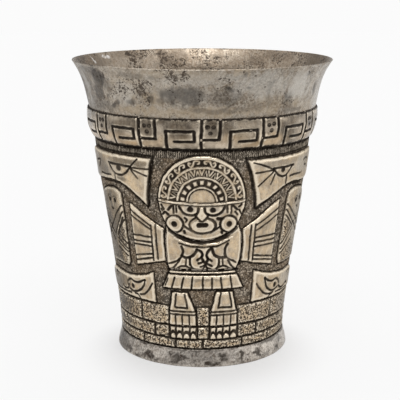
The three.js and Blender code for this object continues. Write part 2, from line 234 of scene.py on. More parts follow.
# %% [markdown]
# The floor is pale paper. Near the foot it keeps the vase's soft shadow, and farther away it
# glows more by itself, so it stays white up to the horizon. Polished metal shows what is round
# it: the same white floor and horizon, and a dim ceiling over them, which gives the swelled
# band and the worn edges their dark and bright sides. Area lamps would light the near floor
# more than the far floor, so the lamps are suns, each with a wide and soft disc.

# %% Floor, sky and lamps
BACKDROP_WHITE = colour(0.965, 0.965, 0.965)
CEILING_GREY = colour(0.16, 0.16, 0.17)
HORIZON_END, CEILING_START = 0.02, 0.3
SKY_LIGHT = 0.45
FLOOR_SIZE = 3
PAPER_NEAR = colour(0.5, 0.5, 0.5)
PAPER_FAR = colour(0.1, 0.1, 0.1)
# The shadow's oval place on the floor, stretched and moved until it is a round spot
SHADOW_STRETCH = (14.3, 13.6, 0)
SHADOW_MOVE = (0, 0.3, 0)
SHADOW_START, SHADOW_END = 0.5, 1.1
GLOW_NEAR = 0.267
GLOW_ADDED_FAR = 0.587
# Each lamp: where it shines from, the width of its disc in degrees, and its strength
LAMPS = {
    "key_lamp": ((0.1, -0.6, 1.1), 42, 1.6),
    "side_lamp": ((1.0, -0.1, 0.6), 100, 1.3),
    "left_lamp": ((-1.0, -0.2, 1.0), 80, 1.2),
    "top_lamp": ((0.0, 0.45, 1.0), 50, 1.4),
}


def seen_directly(tree):
    """1 for the camera and for what metal or glass shows."""
    path = tree.node("LightPath").outputs
    seen = tree.math("MAXIMUM", path["Is Camera Ray"], path["Is Glossy Ray"])
    return tree.math("MAXIMUM", seen, path["Is Transmission Ray"])


world = bpy.data.worlds.new("studio")
world.use_nodes = True
bpy.context.scene.world = world
tree = Tree(world.node_tree)
sky_place = tree.node("TexCoord").outputs["Generated"]
upwards = tree.node("SeparateXYZ", {"Vector": sky_place}).outputs["Z"]
tree.node("OutputWorld", {"Surface": tree.node("Background", {
    "Color": tree.mix(tree.ramp(upwards, HORIZON_END, CEILING_START), BACKDROP_WHITE, CEILING_GREY),
    "Strength": tree.math("MULTIPLY_ADD", seen_directly(tree), 1 - SKY_LIGHT, SKY_LIGHT),
})})

mesh = bpy.data.meshes.new("floor")
corners = [(-FLOOR_SIZE, -FLOOR_SIZE, 0), (FLOOR_SIZE, -FLOOR_SIZE, 0),
           (FLOOR_SIZE, FLOOR_SIZE, 0), (-FLOOR_SIZE, FLOOR_SIZE, 0)]
mesh.from_pydata(corners, [], [(0, 1, 2, 3)])
floor = bpy.data.objects.new("floor", mesh)
bpy.context.collection.objects.link(floor)
paper = bpy.data.materials.new("white_paper")
paper.use_nodes = True
mesh.materials.append(paper)
tree = Tree(paper.node_tree)
floor_place = tree.node("TexCoord").outputs["Object"]
oval_place = tree.vector("MULTIPLY_ADD", floor_place, SHADOW_STRETCH, SHADOW_MOVE)
away = tree.node("VectorMath", {"Vector": oval_place}, operation="LENGTH").outputs["Value"]
far_off = tree.ramp(away, SHADOW_START, SHADOW_END)
cover = tree.node("BsdfDiffuse", {"Color": tree.mix(far_off, PAPER_NEAR, PAPER_FAR)})
glow = tree.math("MULTIPLY_ADD", far_off, GLOW_ADDED_FAR, GLOW_NEAR)
lift = tree.node("Emission", {
    "Color": BACKDROP_WHITE,
    "Strength": tree.math("MULTIPLY", seen_directly(tree), glow),
})
tree.node("OutputMaterial", {"Surface": tree.fill(tree.node("AddShader"), (cover, lift))})

for name, (place, spread, strength) in LAMPS.items():
    light = bpy.data.lights.new(name, "SUN")
    light.angle = math.radians(spread)
    light.energy = strength
    lamp = bpy.data.objects.new(name, light)
    lamp.location = place
    lamp.rotation_euler = (-Vector(place)).to_track_quat("-Z", "Y").to_euler()
    bpy.context.collection.objects.link(lamp)
print("lamps:", ", ".join(LAMPS))

# %% [markdown]
# A silversmith draws the ornament flat, wraps the drawing round the wall and chases it. It
# could be sculpted, or displaced by a painted picture, but then no number could move a line or
# widen it. So it is drawn here too. A drawing board holds one half turn in millimetres: how
# high the metal stands at each point, and how dark, matted or stippled it is. Each motif
# changes the board by its distance from the motif's outline, which gives rounded edges and
# even cut lines.

# %% The drawing board
PITCH = 0.3
TURN = 352.0
WOBBLE = 0.16
TREMBLE = 0.14
TROUGH = 0.3


def smooth(value, low, high):
    t = np.clip((value - low) / (high - low), 0, 1)
    return t * t * (3 - 2 * t)


def blend(below, above, cover):
    return below * (1 - cover) + above * cover


def dome(height, inside, edge):
    """A height that rounds off over the edge's width."""
    return height * np.sqrt(1 - (1 - np.clip(inside / edge, 0, 1)) ** 2)


def soft_noise(shape, cells, seed):
    """Gentle noise that repeats from side to side, about -1 to 1."""
    draw = np.random.default_rng(seed)
    rows, columns = cells
    grid = draw.uniform(-1, 1, (rows + 3, columns))
    at_row = np.linspace(0, rows, shape[0])
    at_column = np.linspace(0, columns, shape[1], endpoint=False)
    r, c = at_row.astype(int), at_column.astype(int)
    down, across = smooth(at_row - r, 0, 1)[:, None], smooth(at_column - c, 0, 1)
    r2, c2 = r + 1, (c + 1) % columns
    top = blend(grid[np.ix_(r, c)], grid[np.ix_(r, c2)], across)
    low = blend(grid[np.ix_(r2, c)], grid[np.ix_(r2, c2)], across)
    return blend(top, low, down)


def curve(*points, steps=5):
    """A smooth run through the points."""
    p = np.array(points, dtype=float)
    p = np.vstack([2 * p[0] - p[1], p, 2 * p[-1] - p[-2]])
    run = []
    for a, b, c, d in zip(p, p[1:], p[2:], p[3:]):
        for t in np.arange(steps) / steps:
            run.append(0.5 * (2 * b + (c - a) * t + (2 * a - 5 * b + 4 * c - d) * t * t
                              + (3 * b - a - 3 * c + d) * t ** 3))
    return np.vstack([run, p[-2]])


def arc(cx, cz, rx, rz, start, end, steps=28):
    """Part of an oval, from one angle to another in degrees."""
    a = np.radians(np.linspace(start, end, steps))
    return np.column_stack([cx + rx * np.cos(a), cz + rz * np.sin(a)])


def oval(cx, cz, rx, rz):
    return arc(cx, cz, rx, rz, 0, 345, 24)


class Board:
    """A flat drawing of part of a wall, sampled evenly, in millimetres. Its lines waver by the
    wobble, as a hand's lines do, and their edges tremble a little."""

    def __init__(self, left, right, low, high, wobble=WOBBLE):
        columns = int(round((right - left) / PITCH))
        rows = int(round((high - low) / PITCH)) + 1
        shape = (rows, columns)
        cells = (rows // 10, columns // 10)
        self.x = left + (right - left) * np.arange(columns) / columns
        self.z = np.linspace(low, high, rows)
        self.grid_x, self.grid_z = np.meshgrid(self.x, self.z)
        self.grid_x = self.grid_x + wobble * soft_noise(shape, cells, 11)
        self.grid_z = self.grid_z + wobble * soft_noise(shape, cells, 12)
        self.tremble = TREMBLE * soft_noise(shape, (rows // 4, columns // 4), 13)
        self.height, self.ink, self.plain, self.stipple = np.zeros((4, *shape))

    def near(self, points, margin, closed=False):
        """The samples near a run of points, and how far each is from it. In a closed run the
        samples inside it have a distance below 0."""
        p = np.asarray(points, dtype=float)
        low, high = p.min(0) - margin, p.max(0) + margin
        columns = slice(*np.searchsorted(self.x, [low[0], high[0]]))
        rows = slice(*np.searchsorted(self.z, [low[1], high[1]]))
        x, z = self.grid_x[rows, columns], self.grid_z[rows, columns]
        nearest = np.full(x.shape, np.inf)
        inside = np.zeros(x.shape, dtype=bool)
        for (ax, az), (bx, bz) in zip(p, np.roll(p, -1, 0) if closed else p[1:]):
            ex, ez = bx - ax, bz - az
            t = np.clip(((x - ax) * ex + (z - az) * ez) / (ex * ex + ez * ez + 1e-12), 0, 1)
            nearest = np.minimum(nearest, (x - ax - t * ex) ** 2 + (z - az - t * ez) ** 2)
            if closed and ez != 0:
                inside ^= ((az > z) != (bz > z)) & (x < ax + (z - az) * ex / ez)
        distance = np.where(inside, -np.sqrt(nearest), np.sqrt(nearest))
        return (rows, columns), distance + self.tremble[rows, columns]

    def raise_plate(self, points, height, edge=1.6, outline=1.7, stipple=0.0):
        """A raised shape with a rounded edge and a blackened trough round it."""
        area, d = self.near(points, outline + 1, closed=True)
        cover = smooth(-d, -0.1, 0.25)
        trough = smooth(d, -0.3, 0.1) * (1 - smooth(d, outline - 0.6, outline + 0.4))
        self.height[area] = blend(self.height[area], dome(height, -d, edge), cover)
        self.height[area] = blend(self.height[area], -TROUGH, trough)
        self.plain[area] = np.maximum(self.plain[area] * (1 - trough), cover)
        self.stipple[area] = blend(self.stipple[area], stipple, cover)
        self.ink[area] = np.maximum(self.ink[area] * (1 - cover), trough)

    def lift(self, points, height, edge=0.7, line=0.0):
        """A bright feature laid on a plate, with a cut round it where line is over 0."""
        area, d = self.near(points, line + 1, closed=True)
        self.height[area] += dome(height, -d, edge)
        self.ink[area] *= 1 - smooth(-d, -0.05, 0.25)
        if line:
            self.cut(np.vstack([points, points[:1]]), line)

    def sink(self, points, depth=0.35):
        """A recess with a blackened bottom."""
        area, d = self.near(points, 1, closed=True)
        inside = smooth(-d, -0.15, 0.2)
        self.height[area] -= depth * inside
        self.ink[area] = np.maximum(self.ink[area], inside)

    def strike(self, points):
        """Part of a plate that is struck over with dots."""
        area, d = self.near(points, 1, closed=True)
        self.stipple[area] = blend(self.stipple[area], 1, smooth(-d, -0.2, 0.3))

    def cut(self, points, width=0.8, depth=0.4, ink=1.0):
        """A chased line, blackened at its bottom."""
        area, d = self.near(points, width + 0.8)
        self.height[area] -= depth * (1 - smooth(d, 0.15 * width, 0.5 * width + 0.35))
        dark = 1 - smooth(d, 0.42 * width, 0.5 * width + 0.36)
        self.ink[area] = np.maximum(self.ink[area], ink * dark)

    def chase(self, lines, depth, ink=1.0):
        """Curved lines, each with its points and its width."""
        for points, width in lines:
            self.cut(curve(*points), width, depth, ink)

    def ridge(self, points, width=0.8, height=0.35):
        """A bright raised line, such as a bead or a scroll in a recess."""
        area, d = self.near(points, width + 0.8)
        cover = 1 - smooth(d, 0.5 * width - 0.2, 0.5 * width + 0.15)
        self.height[area] += height * cover
        self.ink[area] *= 1 - cover

    def punch(self, cx, cz, radius, depth=0.5):
        """A round pit."""
        self.cut([(cx, cz), (cx + 0.01, cz)], 2 * radius - 0.3, depth)


QUARTER_TURN = TURN / 4
wall = Board(-QUARTER_TURN, QUARTER_TURN, WALL_SEAT, WALL_TOP)
print("wall board", wall.height.shape)

# %% [markdown]
# The figure stands on three courses of masonry. Each stone is a low cushion with a stippled
# face, and the joints between the stones are cut deep and blackened. Boxes with a Bevel
# modifier could stand on the wall, but hammered sheet is one skin, so the stones are plates on
# the board. They come first, because the figure's feet and hems stand out in front of them.

# %% Masonry courses
MORTAR = 1.2
# Each course: its lower and upper edge, and where its upright joints are
COURSES = [
    (9.9, 14.9, [-96, -78, -42.5, -17.7, 0.4, 27.4, 50.3, 80, 98]),
    (15.8, 22.4, [-110, -62, -32.3, -3.2, 5, 38.1, 66, 114]),
    (23.3, 34.1, [-92, -72, -42.5, -3.6, 5, 50.8, 84, 104]),
]
for low, high, joints in COURSES:
    for left, right in zip(joints, joints[1:]):
        left, right = left + MORTAR / 2, right - MORTAR / 2
        stone = [(left, low), (right, low), (right, high), (left, high)]
        wall.raise_plate(stone, 0.65, edge=1.3, outline=0.8, stipple=1.0)
print("stones:", sum(len(joints) - 1 for _, _, joints in COURSES))

# %% [markdown]
# Wings spread out behind the figure's arms: plates with feather lines cut into them. A
# hand-made vase is never quite even, so each side of the figure has its own outlines and
# lines. A Mirror modifier would save half the numbers, and the eye would see that at once.

# %% Wings
WINGS = [
    [(-42.3, 91), (-38, 88.6), (-30, 83.5), (-20.5, 78.5), (-20.8, 60.5), (-30, 58.5),
     (-42.2, 55.5)],
    [(46, 92.6), (40, 89.6), (30, 83), (22, 78), (22, 60.5), (34, 57.8), (46.3, 55)],
]
FEATHERS = [
    [(-42, 87.2), (-29, 79.5)], [(-41.6, 84), (-28.5, 77.2)], [(-42, 73.2), (-29, 73.2)],
    [(-42, 70), (-29, 70.2)], [(-42, 67.8), (-29, 68.1)], [(-42, 61.2), (-29, 63.8)],
    [(-42, 58.5), (-29, 61.4)], [(-28.8, 60), (-28.8, 80)], [(-26, 61), (-26, 80.5)],
    [(45.6, 87.7), (31, 80)], [(45.6, 84), (31, 76.8)], [(45.8, 72.8), (30.5, 72.8)],
    [(45.8, 70.2), (30.5, 70.2)], [(45.8, 67.8), (30.5, 67.8)], [(30.5, 62.8), (45.6, 60)],
    [(30.5, 60.5), (45.6, 58)], [(30.3, 60), (30.3, 80.5)], [(27.5, 60.4), (27.5, 80)],
]
for wing in WINGS:
    wall.raise_plate(wing, 0.85, edge=1.8, outline=0.9)
for feather in FEATHERS:
    wall.cut(feather, 0.8, 0.35, ink=0.95)
print("feather lines:", len(FEATHERS))

# %% [markdown]
# A tall wrapped bundle with a small face stands beside each wing. Cords could be bevelled
# curves in Blender, but on the vase they are only grooves that cross the bundle, so a cut line
# is their true form. The fields between some of the cords are struck over with dots.

# %% Wrapped bundles
LEFT_BUNDLE = np.vstack([
    [(-50.3, 53.6), (-48.6, 56), (-48.3, 93)],
    curve((-48.6, 95), (-52, 97), (-57, 97.5), (-63, 96.6), (-69, 94.5), (-71.6, 91)),
    [(-71.8, 56), (-70, 53.6)],
])
RIGHT_BUNDLE = np.vstack([
    [(54, 53.6), (52.2, 56.5), (53.4, 92)],
    curve((54, 94.8), (57, 96.3), (62, 97), (68, 96), (74, 94.3), (77.4, 90)),
    [(77.6, 56), (75.6, 53.6)],
])
for outline in (LEFT_BUNDLE, RIGHT_BUNDLE):
    wall.raise_plate(outline, 1.0, edge=2.6, outline=1.1, stipple=0.3)
CORDS = [
    [(-49.2, 88.2), (-56, 82), (-61, 76.4), (-71, 67)], [(-49.2, 84.6), (-56, 75.4), (-60, 70)],
    [(-49.4, 81.5), (-54, 75), (-57, 70)], [(-49, 80), (-55, 72), (-49, 66.5)],
    [(-57, 68), (-49, 63.4)], [(-57.5, 66), (-49, 61.6)], [(-58, 63), (-49.6, 59.2)],
    [(-60, 69.6), (-71.4, 82)], [(-62, 66.4), (-71.4, 78)],
    [(54.2, 88.2), (66, 79), (77, 71)], [(54, 85), (64, 76.5), (77, 67)],
    [(54, 82), (62, 75.5)], [(53.2, 65.6), (62, 73.6), (77, 86)], [(53.4, 62.4), (64, 72)],
    [(53.4, 60), (66, 67)],
]
STRUCK = [
    [(-49.2, 79.5), (-55, 71.5), (-58, 68.4), (-49.4, 64.4)],
    [(-50, 58.4), (-58, 62), (-66, 56), (-50.6, 54)],
    [(53.4, 80.6), (61, 74.6), (53, 66.4)],
    [(54, 58.6), (66, 66), (76, 60), (75, 54.4), (54.4, 54.4)],
    [(-71, 84), (-64, 84), (-62, 72), (-71, 70)],
    [(66, 74), (77, 84), (77, 74)],
]
for points in STRUCK:
    wall.strike(points)
for cord in CORDS:
    wall.cut(curve(*cord), 0.8, 0.35, ink=0.9)
for x, z in [(-54.6, 90.3), (-60.6, 90.2), (63.5, 89), (69.5, 89)]:
    wall.punch(x, z, 1.5)
    wall.cut(arc(x, z + 0.4, 2.3, 1.9, 20, 160, 10), 0.4, 0.2, ink=0.7)
MOUTHS = [([(-59.3, 85.4), (-58.4, 84.7), (-57.4, 85.4)], 0.9),
          ([(65.4, 85.6), (67.5, 84.2), (69.4, 85.6)], 0.5)]
wall.chase(MOUTHS, 0.25)
print("cords:", len(CORDS), "struck fields:", len(STRUCK))

# %% [markdown]
# Large beaked heads hang under the band. Each is one rounded plate with a smooth outline
# through a few points, as a chaser draws it, and its eye, crest and beak are lines cut into
# it. A bump map would do for the lines, but not for the plate's edge, which catches the light.

# %% Beaked heads under the band
LEFT_HEAD = np.vstack([
    [(-25.3, 117.2), (-27, 110), (-28.8, 100), (-29.6, 90)],
    curve((-30.2, 90.8), (-34, 94.5), (-38, 97), (-42, 99.5), (-46, 101.2), (-50, 102),
          (-56, 102.2), (-66, 101.2), (-78, 100), (-83, 101.6), (-85.6, 106), (-84.6, 112),
          (-80, 117)),
])
RIGHT_HEAD = np.vstack([
    [(22.6, 116.4), (25.5, 110), (27.5, 103), (29.5, 95), (29.6, 89.6)],
    curve((30.6, 91), (36, 93.5), (42, 96.5), (48, 99.4), (53, 100.6), (60, 100.6), (68, 99.6),
          (78, 99.4), (83, 101.2), (85.6, 106), (84.6, 112), (80, 116.7)),
])
for outline in (LEFT_HEAD, RIGHT_HEAD):
    wall.raise_plate(outline, 1.1, edge=2.2, outline=0.8)
# Cut lines along the heads' edges. The two thick black ones beside the crescent are painted
# shadows, where the heads' steep edges fall into shade.
EDGE_CUTS_AND_SHADOWS = [
    ([(-24.9, 118.2), (-26.4, 110), (-28.2, 100), (-29.2, 91)], 1.9),
    ([(21.8, 117.6), (24.6, 110), (26.8, 103), (28.6, 95), (29, 90)], 1.6),
    ([(-29.6, 90), (-36, 94.8), (-43, 98.9), (-50, 101), (-66, 100.4)], 0.9),
    ([(29.8, 89), (38, 93.6), (47, 97.8), (54, 99.6), (68, 98.8)], 0.9),
    ([(-24.9, 118.3), (-34, 118.7), (-50, 118.4), (-80, 118.2)], 1.0),
    ([(21.8, 117.6), (34, 117.6), (50, 117.9), (80, 118)], 0.7),
]
wall.chase(EDGE_CUTS_AND_SHADOWS, 0.35, ink=0.9)
EYES = [
    ([(-55.6, 111.7), (-50, 111.5), (-44, 111.5), (-38.2, 111.4)], 1.08),
    ([(-38.4, 111.1), (-32, 111.2), (-27.4, 111.3)], 0.6),
    ([(-55.5, 111.8), (-53.6, 109.4), (-51.5, 107), (-46.5, 105.9), (-42, 107.5),
      (-38.5, 111)], 0.96),
    ([(-38.5, 111), (-33.5, 116)], 0.6), ([(-38.2, 110.6), (-28.5, 107.5)], 0.6),
    ([(-38.6, 110.4), (-34, 105.5)], 0.72), ([(-50.6, 105.8), (-51, 102.6)], 0.72),
    ([(-54.5, 105), (-60, 104.4), (-66, 104.3)], 0.72),
    ([(-72, 110.6), (-66, 111.5), (-67.4, 109), (-69, 107)], 0.84),
    ([(38, 110.6), (46, 110.5), (53.5, 110.6)], 1.08),
    ([(38.6, 109.8), (42, 106.5), (46, 105.4), (49, 106.6), (51.5, 109.2), (53, 110.5)], 0.96),
    ([(38.5, 109.8), (33, 112.5), (26, 114.8)], 0.6), ([(38.4, 109.6), (27.5, 109.2)], 0.6),
    ([(38.6, 109.2), (29.5, 101.7)], 0.6), ([(39.3, 107.4), (37.2, 102)], 0.72),
    ([(48.3, 106), (48.5, 101)], 0.72), ([(51.5, 104.5), (56, 105), (63, 104.6)], 0.84),
    ([(66, 111.4), (70, 112.2), (73, 110.4), (71.4, 107.8), (68.2, 108.6), (69.4, 110.4)], 0.84),
    ([(76, 111.6), (74.6, 107.4), (77.4, 105.2)], 0.84),
]
wall.chase(EYES, 0.4)
PITS = [(-46.8, 109.9, 1.9), (45, 109.4, 1.7), (64.3, 104.8, 0.6), (-66.2, 104.3, 0.6)]
for pit in PITS:
    wall.punch(*pit)
print("lines on the upper heads:", len(EDGE_CUTS_AND_SHADOWS) + len(EYES))

# %% [markdown]
# Two heads with long jaws lie on the top course of the masonry. They are made as the upper
# heads are. One head could be drawn and turned over for the other side, but the two sides of
# the real vase differ in almost every line, so each has its own.

# %% Long-jawed heads above the masonry
LEFT_JAW = np.vstack([
    [(-30.2, 35), (-30.3, 53)],
    curve((-31, 52.6), (-36, 50.5), (-44, 49), (-52, 48.3), (-60, 48.5), (-74, 48.4), (-80.6, 46),
          (-82.6, 42), (-81.4, 37.4), (-78, 35)),
])
RIGHT_JAW = np.vstack([
    [(32.5, 35), (32.5, 53.8)],
    curve((33.2, 53.4), (38, 52), (46, 50), (54, 49), (62, 48.5), (72, 48.5), (80.6, 46.6),
          (83.4, 42), (82.4, 37.6), (79, 35)),
])
for outline in (LEFT_JAW, RIGHT_JAW):
    wall.raise_plate(outline, 1.05, edge=2.0, outline=0.9)
JAWS = [
    ([(-36.6, 47.2), (-39, 46.6), (-42, 45), (-46, 44.8), (-50, 45.6), (-53, 44),
      (-53.5, 41.5)], 1.08),
    ([(-36.6, 47.2), (-38, 44), (-41, 41), (-45, 39.3), (-49, 38.8), (-52, 39.5)], 1.08),
    ([(-31.5, 46), (-34.5, 42), (-38, 39), (-42, 38)], 0.945),
    ([(-47, 37.8), (-44, 37.4), (-42.4, 35.4)], 0.945),
    ([(-60, 40), (-58, 38.5), (-54, 39.5), (-52, 42)], 0.945),
    ([(-51, 37.4), (-57, 37.2), (-64, 37), (-74, 37.2)], 0.945),
    ([(-66, 45.6), (-69, 46.4), (-71, 44.6), (-69, 43.4)], 0.945),
    ([(41.3, 47.9), (45, 45.7), (49, 44.8), (53, 45.3), (56, 43.5), (57, 42)], 1.08),
    ([(41.4, 47.6), (43.5, 42.5), (47, 39.8), (51, 38.8), (55.5, 39.7)], 1.08),
    ([(35, 45.5), (38, 42), (42, 38.8), (46, 37.4), (51, 37.6)], 0.945),
    ([(46.5, 35.2), (48, 36.8), (50, 37.2)], 0.945),
    ([(56.5, 40.5), (60, 38.5), (64, 38.3), (68, 39.5), (72, 38.8)], 0.945),
    ([(54, 37), (60, 36.9), (66, 36.7), (75, 36.2)], 0.81),
    ([(69, 45.8), (72, 46.4), (74, 44.6), (72, 43.2)], 0.945),
]
wall.chase(JAWS, 0.45)
for x, z in [(-48.2, 41.9), (52, 41.9)]:
    wall.punch(x, z, 1.6)
print("lines on the lower heads:", len(JAWS))

# %% [markdown]
# The figure itself comes last, over its wings and its ground. It is drawn from the feet up, as
# the parts overlap: toes and hems, leggings, skirt, chest, face and headdress. Toes and hems
# repeat, so one loop lifts them all. Separate meshes would leave gaps where the metal has none.

# %% Feet, leggings and skirt
for left, right, splits in [(-21, -3.5, (-17, -12.5, -7.8)), (5.2, 23.2, (9.2, 13.6, 18.3))]:
    foot = [(left, 15.4), (right, 15.4), (right, 22.4), (left, 22.4)]
    sole = [(left + 0.2, 15.6), (right - 0.2, 15.6), (right - 0.2, 22.4), (left + 0.2, 22.4)]
    wall.raise_plate(foot, 0.3, outline=1.2)
    wall.sink(sole, 0.1)
    edges = (left, *splits, right)
    for a, b in zip(edges, edges[1:]):
        middle, half = (a + b) / 2, (b - a) / 2
        toe = np.vstack([arc(middle, 16, half - 0.4, 2.5, 0, 180, 14),
                         [(a + 0.4, 15.4), (b - 0.4, 15.4)]])
        hem = np.vstack([[(b - 0.5, 22), (a + 0.5, 22), (a + 0.5, 19.6)],
                         arc(middle, 19, half - 0.9, 1.2, 180, 0, 8)])
        wall.lift(toe, 0.8, edge=1.5)
        wall.lift(hem, 0.35, edge=0.7)
# Each legging: its outline, its pleats and the panel above them
LEGGINGS = [
    ([(-21, 23.2), (-3.8, 23.2), (-4, 31), (-5, 33.4), (-9, 42.6), (-18.4, 42.6), (-20.5, 32.4)],
     (-16.8, -12.5, -8), [(-15.8, 41.6), (-17, 34), (-9, 33.7), (-10.5, 41.6)]),
    ([(5, 23.2), (22.8, 23.2), (22.6, 31), (21.5, 33), (19, 43), (8.6, 43), (6, 32.6)],
     (9.2, 13.6, 18.3), [(11.5, 42.4), (10, 34), (18.7, 34), (16.8, 42.4)]),
]
for outline, pleats, panel in LEGGINGS:
    wall.raise_plate(outline, 1.0, edge=1.3, outline=1.1)
    left, right = outline[0][0], outline[1][0]
    for z in (31.6, 29.7):
        wall.cut([(left, z), (right, z)], 0.8, 0.3)
    for x in pleats:
        wall.cut([(x, 29.8), (x, 24.6)], 0.8, 0.35)
        wall.sink([(x - 0.9, 22.6), (x + 0.9, 22.6), (x, 26)], 0.4)
    wall.cut(panel, 0.9, 0.4)
SKIRT = [(-24.2, 44.8), (25.7, 44.8), (20.8, 53), (-20.3, 53)]
wall.raise_plate(SKIRT, 1.05, edge=1.2, outline=1.1)
PLEATS = [
    ((-16.2, 51.5), (-18.2, 45.5)), ((-10.8, 51.5), (-12.3, 45.5)), ((-5.5, 52), (-6.3, 45.2)),
    ((0.5, 52), (0.6, 45.2)), ((5.8, 51.5), (6, 45.2)), ((11, 51.5), (12, 45.2)),
    ((16.7, 52), (18, 45.5)), ((-20.4, 50.6), (-22.3, 46.4)),
]
for pleat in PLEATS:
    wall.cut(pleat, 0.85, 0.45)
print("pleats:", len(PLEATS))

# %% [markdown]
# Chest, arms and hands are one rounded plate under a belt. Arms could be tubes along a curve,
# but chased metal has no undercut: an arm is what is left between two cut lines, and only the
# fists are lifted a little more. The necklace is two ridges with one bead between them.

# %% Chest, arms and hands
CHEST = [(-19.5, 56.4), (20, 56.4), (21.6, 60), (22.5, 62), (22.5, 70), (22, 76), (20, 81),
         (-19.5, 80), (-20.6, 72), (-20.6, 60)]
BELT = [(-19.6, 53.9), (20.2, 53.9), (19.6, 55), (-19.2, 55)]
wall.raise_plate(CHEST, 1.0, edge=2.2, outline=1.0)
wall.raise_plate(BELT, 0.8, edge=0.6, outline=1.1)
wall.cut([(-20.6, 78), (-20.9, 68), (-20.6, 58.5)], 1.5, 0.35)
wall.cut([(22.3, 78), (22.6, 68), (22.4, 58.5)], 1.2, 0.35)
FISTS = [
    curve((-6.5, 63), (-6.5, 59.5), (-5.5, 57.5), (-3.4, 56.4), (-0.7, 56.3), (0.7, 57.1),
          (1.7, 59.5), (0.7, 61.2), (-0.3, 63.3), (0.3, 64.7), (0, 66.4), (-1.4, 67.6),
          (-3.1, 67.9), (-4.8, 65)),
    curve((9.3, 62.6), (9.4, 60.6), (8.9, 58.2), (7.5, 56.8), (5.5, 55.9), (3.4, 56.8), (2.4, 58.2),
          (2.4, 60.9), (3.4, 62.6), (2.7, 64.7), (3.4, 67.1), (5.1, 68.6), (6.2, 66), (7.9, 64.2)),
]
for fist in FISTS:
    wall.lift(fist, 0.5, edge=1.4)
    wall.cut(fist[:-10], 0.8, 0.4)
ARMS = [
    ([(-11.3, 69.5), (-10.6, 66.7), (-11.3, 64)], 1.3),
    ([(14.2, 70.9), (13, 68.8), (12.9, 66), (13.7, 63.3)], 1.4),
    ([(-11.3, 64), (-12.7, 62.3), (-15.4, 60.6), (-19.4, 59.2)], 0.9),
    ([(13.7, 63.3), (15.8, 61.9), (19.6, 59.9)], 0.8),
    ([(-12.7, 62.3), (-14, 59.9), (-16.1, 57.5), (-18.2, 56)], 0.95),
    ([(14.7, 61.6), (16.5, 58.8), (18.5, 56.8)], 0.9),
    ([(-10.3, 63.8), (-8.9, 63.3), (-6.9, 63.8), (-4.8, 65), (-3.4, 66.7), (-3, 67.9)], 1.4),
    ([(12.7, 63.3), (10.3, 63.3), (7.9, 64.2), (6.2, 66), (5.5, 68.6)], 1.5),
    ([(-2.7, 67.9), (-1.2, 67.4), (0, 66.2), (0.3, 64.7), (-0.3, 63.3), (0.8, 61.2)], 1.4),
    ([(5.1, 68.6), (3.4, 67.1), (2.7, 64.7), (3.4, 62.6), (2.4, 60.9)], 1.4),
    ([(-0.3, 63.7), (-2.7, 62.1)], 1.2), ([(0.7, 61.2), (-2, 60.2)], 1.2),
    ([(1.4, 59.2), (-0.7, 58.3)], 1.1), ([(3.1, 63), (5.5, 61.6)], 1.2),
    ([(2.7, 59.9), (5.5, 58.8)], 1.1), ([(3.1, 57.5), (5.1, 56.8)], 1.0),
    ([(-8.9, 63), (-9.1, 58.8)], 0.75), ([(-6.9, 63), (-6.9, 58.8)], 0.75),
    ([(11.7, 62.6), (12, 58.8)], 0.7), ([(9.8, 62.6), (9.8, 58.8)], 0.75),
    ([(-14.7, 56.4), (-12.3, 58), (-9.3, 58.2), (-7.2, 57.3), (-5.5, 56.4)], 1.1),
    ([(7.5, 56.4), (9.9, 57.8), (13, 58.2), (15.4, 57.1), (17.1, 55.9)], 1.1),
    ([(-20, 55.9), (0, 55.7), (21, 55.7)], 1.3),
    ([(-12.5, 71.4), (-6, 69.8), (0, 69.4), (8, 69.8), (15, 73)], 0.6),
]
wall.chase(ARMS, 0.45)
for points in [(-14.8, 74.2), (-9, 71.7), (-3, 70.7)], [(3, 70.7), (9, 71.4), (16.4, 74.8)]:
    wall.ridge(curve(*points), 0.9, 0.5)
wall.lift(oval(0.1, 71.2, 0.9, 0.9), 0.8)
print("lines on the chest:", len(ARMS))

# %% [markdown]
# The face is a half-round plate that narrows to the chin. Big forms come first, as in chasing:
# the eyes and the mouth swell, lids and temples are cut, and then come the pupils, the ear
# spools and the nose. It could be a separate mesh set on the wall, but chased metal is one
# skin, and a seam round the face would show.

# %% Face
BROW = 94.4
FACE = np.vstack([
    arc(0, BROW, 23.0, 25.4, 0, 180, 40),
    curve((-22.5, 90), (-20.9, 85), (-18.8, 81), (-16.3, 78.4), (-11.5, 75.8), (-5.8, 73.8),
          (0, 73.1), (5.8, 73.8), (11.5, 75.9), (16.3, 79), (19.4, 82.5), (21.4, 87), (22.7, 91)),
])
CHIN_SHADOW = [(-17.7, 78.4), (-12.1, 74.7), (-5.8, 72.6), (0, 72.1), (6.7, 72.8), (13, 75.2),
               (18.6, 79.8)]
LIDS = [
    [(-11.7, 92), (-10.2, 89.6), (-8.3, 88.2), (-5.8, 87.5), (-3.6, 87.7), (-2.2, 88.8),
     (-1.7, 91.4)],
    [(1.4, 91.4), (1.8, 89), (3.5, 87.7), (6.1, 87.2), (8.6, 87.9), (10.6, 89.6), (11.8, 92)],
]
PUPILS = [(-6, 90.8, 1.7), (5.7, 90.4, 1.75)]
SPOOLS = [(-14.5, 82.3, 4.7), (14.2, 82.4, 4.6)]
